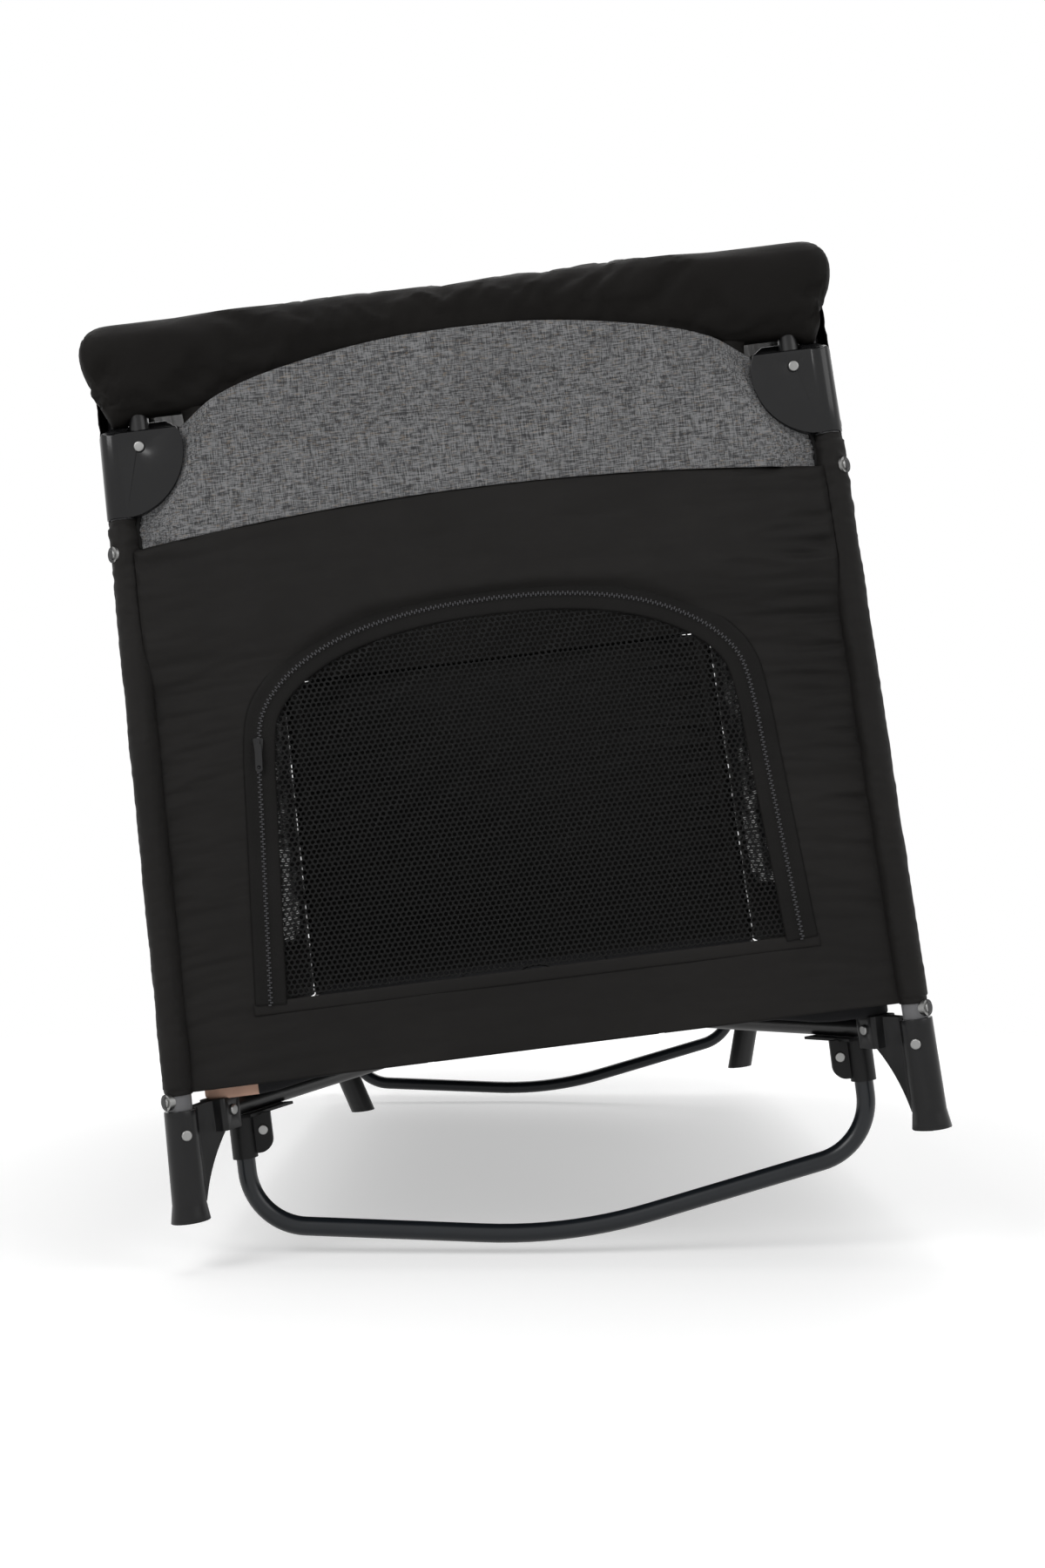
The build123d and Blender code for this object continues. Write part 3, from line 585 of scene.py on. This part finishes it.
def wall_place(u, v):
    k = round(u * (len(inner) - 1))
    point = inner[k].lerp(outer[k], v)
    under_tape = 1 - smooth_step(v, 0.02, 0.14)
    point.y = wrinkles(point.x, point.z, FRONT_Y - OUTSIDE * smooth_step(point.z, h(440), h(500)))
    point.y += (FRONT_Y + 1.4 * MM - point.y) * under_tape
    return point


wall = surface(len(inner) - 1, 34, wall_place, closed=True)
front_wall = finished("door_wall_lower_cloth", facing(wall, (0, -1, 0)), WALL,
                      "front_left_leg")
thicken(front_wall, 0.8 * MM)

# ---- front end: black yoke behind, grey panel, piping ----
cut_line = end_line(CUT, 60, FRONT_Y)[::-1]
arch_line = end_line(ARCH, 90, FRONT_Y)


def panel_place(u, v):
    """The grey panel: seam below, arch above, bracket cuts at the sides."""
    side = 2 * u - 1
    low = Vector((side * 0.291, 0, 0))
    low.z = seam_h(low.x)
    high = along(arch_line, abs(side))
    high = Vector((math.copysign(high.x, side), 0, high.z))
    edge = along(cut_line, v)
    point = low.lerp(high, v)
    point.x = edge.x * side if abs(side) else 0.0
    flat_edge = Vector((0.291, 0, h(572))).lerp(Vector((0.248, 0, h(675))), v)
    point.z += (edge.z - flat_edge.z) * abs(side) ** 3
    # soft pulls that fan out from the bracket's lower corner
    corner = Vector((math.copysign(0.288, point.x), 0, h(592)))
    away = point - corner
    fan = math.atan2(away.z, abs(away.x))
    pull = math.exp(-away.length / 0.07) * math.sin(fan * 13 + 1)
    swell = math.sin(math.pi * v) * (1 - side ** 4)
    over_rail = 6 * smooth_step(point.z, h(640), h(694)) * smooth_step(1 - abs(side), 0, 0.16)
    # behind the brackets at its sides
    out = OUTSIDE * smooth_step(1 - abs(side), 0.0, 0.14)
    point.y = FRONT_Y - out - (0.8 + 1.6 * swell + 1.3 * pull + over_rail) * MM - 0.5 * MM * ripple(
        point.x, point.z, 0.12, 0.05, 31)
    return point


panel = surface(170, 70, panel_place)
grey = finished("door_wall_upper_cloth", facing(panel, (0, -1, 0)), MELANGE,
                "front_left_leg")
thicken(grey, 0.9 * MM)

YOKE = [(297, 572), (296, 596), (287, 603), (270, 615), (254, 637), (245, 660), (245, 690),
        (256, 697), (268, 702), (272, 714)]
yoke_edge = end_line(YOKE, 80, FRONT_Y)


def yoke_place(u, v):
    edge = along(yoke_edge, v)
    side = 2 * u - 1
    middle_z = h(572) + v * (h(714) - h(572))
    z = middle_z + (edge.z - middle_z) * abs(side) ** 4
    inside = smooth_step(abs(edge.x * side), 0.226, 0.246) * (1 - smooth_step(z, h(684), h(692)))
    y = (FRONT_Y - OUTSIDE + (1.6 + 9 * inside) * MM
         - 0.5 * MM * ripple(edge.x * side, z, 0.05, 0.03, 41))
    return Vector((edge.x * side, y, z))


yoke = finished("door_wall_yoke", facing(surface(140, 60, yoke_place), (0, -1, 0)), LINING,
                "front_left_leg")
thicken(yoke, 0.8 * MM)

for side, name in ((-1, "left"), (1, "right")):
    line = [Vector((side * (p.x + 2.2 * MM), FRONT_Y - 0.6 * MM, p.z + 1.2 * MM)) for p in cut_line]
    cord = finished(f"panel_piping_{name}", tube(line, 2.6 * MM, 10, 0.7), PIPING,
                    "front_left_leg")
    squash_across(cord)

# ---- zip: tape, teeth, hem ----
tape_y = FRONT_Y - 1.2 * MM


def on_wall(x, z):
    return wrinkles(x, z, tape_y) * 0.4 + tape_y * 0.6


def tape_lift(a):
    edge = max(abs(a) - 0.86, 0) / 0.14
    coil = max(1 - abs(a) / 0.2, 0)
    return (0.8 - 0.8 * edge ** 2 + 0.15 * math.cos(a * 9) + 0.5 * coil) * MM


outer_zip = smooth_line(zip_line[::6] + [zip_line[-1]], len(zip_line))
tape = finished("zip_tape_cloth", facing(strip(outer_zip, 13.5 * MM, 18, on_wall, tape_lift),
                                         (0, -1, 0)), TAPE, "front_left_leg")
thicken(tape, 0.9 * MM)

teeth = bmesh.new()
zip_length = sum((b - a).length for a, b in zip(outer_zip, outer_zip[1:]))
count = int(zip_length / (2.1 * MM))
for k, point in enumerate(evenly(outer_zip, count)):
    after = along(outer_zip, (k + 1) / count) - along(outer_zip, (k - 1) / count)
    way = after.normalized()
    side = Vector((way.z, 0, -way.x)) * (1 if k % 2 else -1)
    seat = point + side * 0.7 * MM
    seat.y = on_wall(point.x, point.z) - 2.0 * MM
    turn = Matrix((side, Vector((0, 1, 0)), way)).transposed().to_4x4()
    size = Matrix.Diagonal((2.4 * MM, 1.0 * MM, 1.2 * MM, 1))
    bmesh.ops.create_cube(teeth, size=1.0, matrix=Matrix.Translation(seat) @ turn @ size)
bmesh.ops.recalc_face_normals(teeth, faces=teeth.faces)
zip_teeth = finished("zip_coil", teeth, TEETH, "front_left_leg", smooth=False)

hem_line = evenly([Vector((-0.243, 0, h(170.5))), Vector((0.243, 0, h(170.5)))], 160)


def hem_lift(a):
    return (0.8 * math.sqrt(max(1 - a * a, 0)) + 0.6) * MM


hem = finished("door_hem", facing(strip(hem_line, 5.5 * MM, 8, lambda x, z: FRONT_Y, hem_lift),
                                  (0, -1, 0)), WALL, "front_left_leg")
thicken(hem, 0.7 * MM)

# ---- door mesh ----
inner_half = end_line([(x - 6, z - 5 if z > 430 else z + 5) for x, z in ZIP], 140, FRONT_Y)


def door_place(u, v):
    edge = along(inner_half, v * v * 0.15 + v * 0.85)
    side = 2 * u - 1
    x = edge.x * side
    z = edge.z
    y = FRONT_Y + 0.6 * MM
    # diagonal creases that fade towards the hem and the zip
    creases = 1.6 * MM * ripple(x * 0.6 + z, z - x * 0.75, 0.09, 0.02, 51)
    y -= creases * min(v * 3, 1) * min((1 - abs(side)) * 6, 1)
    y -= 3.0 * MM * math.sin(math.pi * v) * (1 - side * side)
    return Vector((x, y, z))


door = finished("door_mesh_cloth", facing(surface(110, 90, door_place), (0, -1, 0)), MESH, "door")

for made, nodes_replaced in ((front_wall, ["door_wall_lower"]), (grey, ["door_wall_upper"]),
                             (yoke, []), (tape, ["zip_tape"]), (zip_teeth, []), (hem, []),
                             (door, ["door_mesh"])):
    squash_across(made)
    if nodes_replaced:
        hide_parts(*nodes_replaced)


# ---- padded covers of the rails ----
SETTLE_FRAMES = 18
COVER_ROUND = 25 * MM                   # over which a cover's ends round off


def settle(made, pressure, cap, pinned):
    """Blow a padded piece up a little as cloth, with its pinned rows held, and keep the result."""
    remesh = made.modifiers.new("even", "REMESH")
    remesh.mode = "VOXEL"
    remesh.voxel_size = 5 * MM
    bpy.context.view_layer.update()
    evened = bpy.data.meshes.new_from_object(
        made.evaluated_get(bpy.context.evaluated_depsgraph_get()))
    made.modifiers.clear()
    made.data = evened
    start = [v.co.copy() for v in evened.vertices]
    group = made.vertex_groups.new(name="held")
    group.add([v.index for v in evened.vertices if pinned(v.co)], 1.0, "REPLACE")
    cloth_step = made.modifiers.new("cloth", "CLOTH")
    settings = cloth_step.settings
    settings.quality = 5
    settings.use_pressure = True
    settings.uniform_pressure_force = pressure
    settings.vertex_group_mass = "held"
    settings.effector_weights.gravity = 0
    settings.tension_stiffness = 12
    settings.bending_stiffness = 0.3
    settings.shrink_min = -0.035
    scene = bpy.context.scene
    for number in range(1, SETTLE_FRAMES + 1):
        scene.frame_set(number)
    moved = made.evaluated_get(bpy.context.evaluated_depsgraph_get()).data
    ends = [v.co.copy() for v in moved.vertices]
    made.modifiers.clear()
    for vertex, a, b in zip(evened.vertices, start, ends):
        way = b - a
        if way.length > cap:
            way *= cap / way.length
        vertex.co = a + way
    scene.frame_set(1)


def rounded(value, half, power):
    return math.copysign(abs(value) ** (2 / power), value) * half


def cover_end(level, rise):
    """How far the cover's end stands back from its furthest point, at a level from 0 to 1."""
    into = max(level * rise - (rise - COVER_ROUND), 0)
    back = COVER_ROUND - math.sqrt(max(COVER_ROUND ** 2 - into ** 2, 0))
    return back + 21 * MM * max(1 - level / 0.62, 0) ** 1.4


def cover_shape(half_length, thick, low, high, seed, arched):
    """A long padded rail cover along X about the origin, its outer side towards -Y.

    The top is crowned, the lower hem drawn in. Where the end's grey panel is sewn over it,
    the outer side is held flat below the arch."""
    shape = bmesh.new()
    bmesh.ops.create_grid(shape, x_segments=int(half_length / (1.9 * MM)), y_segments=60, size=0.5)
    rise = high - low
    reach = COVER_ROUND
    for vertex in shape.verts:
        t = 2 * vertex.co.x
        # the section runs up the outer side, over, down the inner side and under
        angle = 2 * math.pi * (vertex.co.y + 0.5) - 3 * math.pi / 4
        cy, cz = math.cos(angle), math.sin(angle)
        level = rounded(cz, 0.5, 4.2) + 0.5
        core = half_length - cover_end(level, rise) - reach
        span = half_length - reach
        end = max(abs(t) * half_length - span, 0) / reach
        if end > 0:
            x = math.copysign(core + reach * math.sin(end * math.pi / 2), t)
        else:
            x = t * half_length * core / span
        taper = math.cos(min(end, 1) * math.pi / 2) ** 0.6
        y = rounded(cy, thick * 0.98, 3.4) * (1 - 0.26 * (1 - level) ** 2.2) * taper
        z = low + rise * level + 1.3 * MM * ripple(x, y, 0.14, 0.1, 77 + seed) * level
        # the hem hangs lower past the rails' stubs
        z -= 9 * MM * (1 - level) ** 2 * smooth_step(abs(x), half_length - 42 * MM,
                                                     half_length - 22 * MM)
        seam = arch_top(x) if arched else low + 3 * MM
        above = z - seam
        # diagonal pulls start at the seam and fade upwards
        slant = x * 0.9 + (z - low) * (1.3 if x < 0 else -1.3)
        pull = ripple(slant, z * 0.3 + x * 0.2, 0.030, 0.16, 61 + seed)
        broad = ripple(x, z, 0.11, 0.05, 71 + seed)
        fade = math.exp(-max(above, 0) / (30 * MM)) * smooth_step(1 - abs(t), 0, 0.12)
        if arched and y < 0:
            y = max(y, -(12.5 + 11 * smooth_step(above, 1 * MM, 20 * MM)) * MM)
            fade *= smooth_step(above, 0, 5 * MM)
        depth = (5.5 * (0.3 - abs(pull) * 1.6) * fade + 1.2 * broad) * MM
        y += math.copysign(depth, y) * max(abs(cy) - 0.25, 0) * (0.3 + 0.7 * taper)
        vertex.co = Vector((x, y, z))
    bmesh.ops.remove_doubles(shape, verts=shape.verts, dist=0.05 * MM)
    bmesh.ops.recalc_face_normals(shape, faces=shape.faces)
    return shape


def cover_piece(name, body, node, turn):
    """A rail's cover; turn brings its outer side from -Y to where it faces."""
    low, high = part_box(node)
    middle = (low + high) / 2
    lengthwise = turn % 180 // 90
    half = (high[lengthwise] - low[lengthwise]) / 2
    thick = (high[1 - lengthwise] - low[1 - lengthwise]) / 2
    ends = lengthwise == 0
    shape = cover_shape(half, thick, low.z + 1 * MM, high.z + 3 * MM, turn / 30, ends)
    shape.transform(Matrix.Translation((middle.x, middle.y, 0))
                    @ Matrix.Rotation(math.radians(turn), 4, "Z"))
    made = finished(name, shape, COVER, body)
    outer = -1 if turn == 0 else 1
    hem = low.z + 9 * MM
    made.parent = None
    made.matrix_world = Matrix.Identity(4)
    settle(made, 3.0, 4 * MM, lambda co: co.z < hem or (
        ends and (co.y - middle.y) * outer > 4 * MM and co.z < arch_top(co.x) + 3 * MM))
    for face in made.data.polygons:
        face.use_smooth = True
    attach(made, body)
    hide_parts(node)
    return made


squash_across(cover_piece("rail_cover_front_cloth", "front_left_leg", "rail_cover_front", 0))
squash_across(cover_piece("rail_cover_rear_cloth", "rear_left_leg", "rail_cover_rear", 180))
squash_along(cover_piece("rail_cover_left_cloth", "front_left_leg", "rail_cover_left", -90))
squash_along(cover_piece("rail_cover_right_cloth", "front_right_leg", "rail_cover_right", 90))


# ---- fabric sleeves round the posts ----
def sleeve(name, side, end):
    """side is -1 for left, end is -1 for front."""
    low, high = h(WALL_LOW_H - 1), h(600)

    def place(u, v):
        z = low + (high - low) * u
        cx, cy = math.cos(2 * math.pi * v), math.sin(2 * math.pi * v)
        top = max((u - 0.80) / 0.2, 0)
        seed = 81 + side * 3 + end * 7
        creases = noise.noise(Vector((cx * 1.6, cy * 1.6 + seed, z / 0.006)))
        slow = noise.noise(Vector((cx, cy + seed, z / 0.035)))
        radius = 13.0 * MM + (0.5 + 1.1 * top) * MM * creases + 0.7 * MM * slow
        if u < 0.012 or u > 0.988:
            radius -= 1.2 * MM
        return Vector((side * post_x(z) + cx * radius, end * POST_Y + cy * radius, z))
    return surface(300, 30, place, closed=True)


for corner in CORNERS:
    side = -1 if corner[1] == "l" else 1
    end = -1 if corner[0] == "f" else 1
    body = {"f": "front", "r": "rear"}[corner[0]] + {"l": "_left_leg", "r": "_right_leg"}[corner[1]]
    made = finished(f"post_sleeve_{corner}", sleeve(corner, side, end), WALL, body)
    thicken(made, 0.8 * MM, -1)


# ---- rear wall: lower and upper cloth ----
def rear_lower_place(u, v):
    low = h(WALL_LOW_H)
    z = low + v * (seam_h(0) - low)
    x = (post_x(z) + 4 * MM) * (2 * u - 1)
    z = low + v * (seam_h(min(abs(x), SEAM_HALF)) - low)
    return Vector((x, POST_Y + OUTSIDE + 5 * MM - wrinkles(x, z, 0.0, 100.0), z))


rear_lower = finished("rear_wall_lower_cloth",
                      facing(surface(220, 170, rear_lower_place), (0, 1, 0)), WALL,
                      "rear_left_leg")


def mirrored_end(place):
    """The same piece at the other end."""
    def placed(u, v):
        point = place(u, v)
        return Vector((point.x, -point.y, point.z))
    return placed


rear_grey = finished("rear_wall_upper_cloth",
                     facing(surface(150, 60, mirrored_end(panel_place)), (0, 1, 0)), MELANGE,
                     "rear_left_leg")
rear_yoke = finished("rear_wall_yoke",
                     facing(surface(120, 50, mirrored_end(yoke_place)), (0, 1, 0)), LINING,
                     "rear_left_leg")
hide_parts("rear_wall")
for made in (rear_lower, rear_grey, rear_yoke):
    thicken(made, 0.8 * MM)
    squash_across(made)


# ---- side walls with mesh windows ----
# half its length, its low and high edges in millimetres above the soles, its corners' radius
WINDOW = (0.490, 190, 560, 0.060)
WALL_REACH = 0.574                      # the side walls' ends, beside the posts


def window_edge(count):
    """The window's outline from its lower front corner, y and z, going up first."""
    reach, low, high, corner = WINDOW
    low, high = h(low), h(high)
    line = []
    front, rear = -reach + corner, reach - corner
    bottom, top = low + corner, high - corner
    for cy, cz, start in ((front, top, 180), (rear, top, 90), (rear, bottom, 0),
                          (front, bottom, -90)):
        for step in range(9):
            angle = math.radians(start - step * 90 / 8)
            line.append(Vector((0, cy + corner * math.cos(angle), cz + corner * math.sin(angle))))
    return evenly(line + [line[0]], count + 1)


def side_ring(side):
    count = 640
    inner_line = window_edge(count)
    centre = Vector((0, 0, h(375)))
    low, high = h(WALL_LOW_H), h(734)

    def outer_point(point):
        """Where the ray from the middle through the point meets the wall's edge."""
        way = point - centre
        # round the rear posts, and up to the front ones
        reach = WALL_REACH if way.y < 0 else WALL_REACH + 18 * MM
        scale = min(reach / max(abs(way.y), 1e-9),
                    (high - centre.z) / max(way.z, 1e-9) if way.z > 0
                    else (low - centre.z) / min(way.z, -1e-9))
        return centre + way * scale

    def place(u, v):
        k = round(u * count)
        a = inner_line[k]
        b = outer_point(a)
        point = a.lerp(b, v)
        edge = max(WALL_REACH - abs(point.y), 0)
        near = math.exp(-edge / 0.07)
        swing = 2.6 * near * ripple(edge + (5 if point.y > 0 else 0), point.z, 0.09, 0.014,
                                    91 + side)
        drape = 1.2 * ripple(point.y, point.z, 0.2, 0.07, 95 + side)
        # over the post sleeves at its ends
        over = 5 * MM * smooth_step(abs(point.y), 0.500, 0.530)
        x = side * (post_x(point.z) + OUTSIDE + over + (swing + drape) * 0.5 * MM)
        return Vector((x, point.y, point.z))
    return surface(count, 30, place, closed=True)


def window_mesh(side):
    reach, low, high, corner = WINDOW
    # it reaches under the wall's edge all round
    reach += 4 * MM
    low, high = h(low - 4), h(high + 4)

    def place(u, v):
        z = low + v * (high - low)
        y = reach * (2 * u - 1)
        sag = 2.2 * MM * math.sin(math.pi * u) * math.sin(math.pi * v)
        x = side * (post_x(z) + OUTSIDE - 0.6 * MM) + sag + 0.8 * MM * ripple(y, z, 0.15, 0.05, 98)
        return Vector((x, y, z))
    shape = surface(180, 70, place)
    # the corners are round, as the window is
    outside = []
    for face in shape.faces:
        middle = face.calc_center_median()
        dy = abs(middle.y) - (reach - corner)
        dz = max(middle.z - high + corner, low + corner - middle.z)
        if dy > 0 and dz > 0 and math.hypot(dy, dz) > corner:
            outside.append(face)
    bmesh.ops.delete(shape, geom=outside, context="FACES")
    return shape


def window_binding(side):
    """A folded tape round the window."""
    line = window_edge(400)[:-1]

    def place(u, v):
        k = round(u * len(line)) % len(line)
        way = (line[(k + 1) % len(line)] - line[k - 1]).normalized()
        a = 2 * v - 1
        point = line[k] + Vector((0, -way.z, way.y)) * 9 * MM * a
        stand = (1.6 - 1.0 * a ** 6 + 0.25 * math.cos(a * 14)) * MM
        return Vector((side * (post_x(point.z) + OUTSIDE + stand), point.y, point.z))
    return surface(len(line), 14, place, closed=True)


for side, label, body in ((-1, "left", "front_left_leg"), (1, "right", "front_right_leg")):
    outward = (side, 0, 0)
    made = finished(f"side_wall_{label}_cloth", facing(side_ring(side), outward), WALL, body)
    thicken(made, 0.8 * MM)
    window = finished(f"side_mesh_{label}_cloth", facing(window_mesh(side), outward), SIDE_MESH,
                      body)
    thicken(window, 1.5 * MM)
    binding = finished(f"side_binding_{label}", facing(window_binding(side), outward), TAPE, body)
    thicken(binding, 0.8 * MM)
    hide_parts(f"side_wall_{label}")
    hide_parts(f"side_mesh_{label}")
    for piece in (made, window, binding):
        squash_along(piece)

# ---- floor mat in three lengthwise boards ----
mat_low, mat_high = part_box("floor_mat")
MAT_LOW_H = 105.5                       # the boards' undersides, in millimetres above the soles
MAT_SPLIT = 0.1                         # where the middle board meets the outer ones
QUILTING = (-0.284, 0.0, 0.284)         # seams across the boards


def board(name, left, right, body, rounded_sides):
    floor_low = h(MAT_LOW_H)
    thick = mat_high.z - 0.8 * MM - floor_low
    shape = bmesh.new()
    bmesh.ops.create_cube(shape, size=1.0)
    length = mat_high.y - mat_low.y
    shape.transform(Matrix.Translation(((left + right) / 2, 0, floor_low + thick / 2))
                    @ Matrix.Diagonal((right - left, length, thick, 1)))
    upright = [edge for edge in shape.edges
               if abs(edge.verts[0].co.z - edge.verts[1].co.z) > thick / 2
               and edge.verts[0].co.x * rounded_sides > abs(rounded_sides) * 0.25]
    if upright:
        bmesh.ops.bevel(shape, geom=upright, offset=22 * MM, segments=6, affect="EDGES",
                        profile=0.5, material=-1)
    bmesh.ops.bevel(shape, geom=[edge for edge in shape.edges if edge.calc_face_angle(0) > 0.8],
                    offset=3 * MM, segments=3, affect="EDGES", profile=0.5, material=-1)
    cuts = [((0, mat_low.y + length * cut / 56, 0), (0, 1, 0)) for cut in range(1, 56)]
    cuts += [((left + (right - left) * cut / 12, 0, 0), (1, 0, 0)) for cut in range(1, 12)]
    for point, normal in cuts:
        bmesh.ops.bisect_plane(shape, geom=shape.verts[:] + shape.edges[:] + shape.faces[:],
                               plane_co=point, plane_no=normal)
    for vertex in shape.verts:
        if vertex.co.z > floor_low + thick * 0.7:
            seam = min(abs(vertex.co.y - mark) for mark in QUILTING)
            vertex.co.z -= 2.5 * MM * math.exp(-seam / 0.008)
            vertex.co.z += 0.8 * MM * ripple(vertex.co.x, vertex.co.y, 0.08, 0.08, 121)
    shape.normal_update()
    for face in shape.faces:
        middle = face.calc_center_median()
        # painted shade: only the low faces at the front left corner, where the mat is lit, get the
        # pale backing colour; every other face gets the dark cloth
        corner = middle.x < -0.258 and middle.y < -0.535 and middle.z < floor_low + thick * 0.8
        face.material_index = 1 if corner else 0
    # the boards sag between the base tubes towards the corners
    for vertex in shape.verts:
        if vertex.co.z < floor_low + thick / 2:
            vertex.co.z -= 8.5 * MM * smooth_step(abs(vertex.co.x), 0.19, 0.25)
    # the dark cloth here is painted shade on the mat, the pale backing only at its lit corner
    made = finished(name, shape, [MAT_PAINTED_SHADE, MAT], body)
    return made


gap = 0.4 * MM
left_board = board("floor_mat_left", mat_low.x, -MAT_SPLIT - gap, "front_left_leg", -1)
middle_board = board("floor_mat_middle", -MAT_SPLIT, MAT_SPLIT, "hub", 0)
right_board = board("floor_mat_right", MAT_SPLIT + gap, mat_high.x, "front_right_leg", 1)
squash_along(left_board)
squash_along(right_board)
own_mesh(middle_board)
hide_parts("floor_mat")

# ---- pull strap of the hub ----
strap_low, strap_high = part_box("hub_strap")


def strap_place(u, v):
    half = (strap_high.x - strap_low.x) / 2 - 1 * MM
    high = strap_high.z - strap_low.z - 1 * MM
    angle = math.pi * u
    x = rounded(math.cos(angle), half, 3.2)
    z = strap_low.z + abs(rounded(math.sin(angle), high, 3.2)) + 0.4 * MM
    y = (strap_high.y - 0.4 * MM) * (2 * v - 1) + 1.2 * MM * math.sin(u * 7)
    return Vector((x, y, z))


strap = finished("hub_strap_web", surface(60, 8, strap_place), WEBBING, "hub")
thicken(strap, 1.6 * MM, -1)
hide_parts("hub_strap")


# ---- light, floor and camera ----
def lamp(name, place, target, size, power):
    data = bpy.data.lights.new(name, "AREA")
    data.shape = "RECTANGLE"
    data.size, data.size_y = size
    data.energy = power
    made = bpy.data.objects.new(name, data)
    bpy.context.scene.collection.objects.link(made)
    made.location = place
    made.rotation_euler = (Vector(target) - Vector(place)).to_track_quat("-Z", "Y").to_euler()
    return made


# The playpen rests on the left straight run of its bars, rocked over by this much.
ROCK = math.radians(7.1)
right = Vector((math.cos(ROCK), 0, -math.sin(ROCK)))
up = Vector((math.sin(ROCK), 0, math.cos(ROCK)))

SENSOR = 36
FOCAL = 2119                            # for a frame whose long side is 1800
ahead = (Vector((0, 1, 0)) + up * (85 / FOCAL) + right * (5 / FOCAL)).normalized()
camera_right = (right - ahead * right.dot(ahead)).normalized()
camera_up = camera_right.cross(ahead)
camera_data = bpy.data.cameras.new("camera")
camera_data.sensor_width = SENSOR
camera_data.lens = FOCAL / 1800 * SENSOR
camera = bpy.data.objects.new("camera", camera_data)
bpy.context.scene.collection.objects.link(camera)
pose = Matrix((camera_right, camera_up, -ahead)).transposed().to_4x4()
pose.translation = Vector((-0.004, -2.165, 0.339))
camera.matrix_world = pose
bpy.context.scene.camera = camera

# floor under the bar's left end
touch = Vector((-0.2, 0, 0.0105))
mesh = bpy.data.meshes.new("floor")
flat = bmesh.new()
bmesh.ops.create_grid(flat, x_segments=1, y_segments=1, size=9)
flat.transform(Matrix.Translation(touch) @ Matrix((right, (0, 1, 0), up)).transposed().to_4x4())
flat.to_mesh(mesh)
flat.free()
floor = bpy.data.objects.new("floor", mesh)
bpy.context.scene.collection.objects.link(floor)


def seen_directly(tree):
    """1 where the camera, a mirror or glass looks, 0 for light that bounces."""
    path = tree.nodes.new("ShaderNodeLightPath")
    seen = Value(tree, path.outputs["Is Camera Ray"])
    seen = seen.max(Value(tree, path.outputs["Is Glossy Ray"]))
    return seen.max(Value(tree, path.outputs["Is Transmission Ray"]))


world = bpy.data.worlds.new("studio")
bpy.context.scene.world = world
world.use_nodes = True
sky = world.node_tree.nodes["Background"]
sky.inputs["Color"].default_value = (1, 1, 1, 1)
seen = seen_directly(world.node_tree)
world.node_tree.links.new((seen * 0.68 + 0.32).socket, sky.inputs["Strength"])

# paper floor: lit near the playpen, where its shadow falls, and plain white further off
paper = Finish("paper", (0.9, 0.9, 0.9), 1.0)
tree = paper.material.node_tree
away = paper.x * paper.x + paper.y * paper.y
far = paper.step(away, 0.8, 3.2)
share = far * 0.8 + 0.2
glow = tree.nodes.new("ShaderNodeEmission")
tree.links.new(paper.mix(far, (2.25, 2.25, 2.25), (1, 1, 1)).socket, glow.inputs["Color"])
blend = tree.nodes.new("ShaderNodeMixShader")
shader = tree.nodes["Principled BSDF"]
output = tree.nodes["Material Output"]
tree.links.new((share * seen_directly(tree)).socket, blend.inputs["Fac"])
tree.links.new(shader.outputs[0], blend.inputs[1])
tree.links.new(glow.outputs[0], blend.inputs[2])
tree.links.new(blend.outputs[0], output.inputs["Surface"])
floor.data.materials.append(paper.material)

target = (0, -0.2, 0.45)
lamp("key", (-1.6, -2.6, 2.6), target, (1.6, 1.6), 46)
lamp("fill", (2.4, -2.2, 1.6), target, (1.8, 1.8), 22)
lamp("top", (0.2, 0.3, 3.2), target, (2.5, 2.5), 46)
lamp("back", (0.8, 3.0, 2.2), target, (2.0, 1.5), 25)

bpy.context.scene.view_settings.view_transform = "Standard"
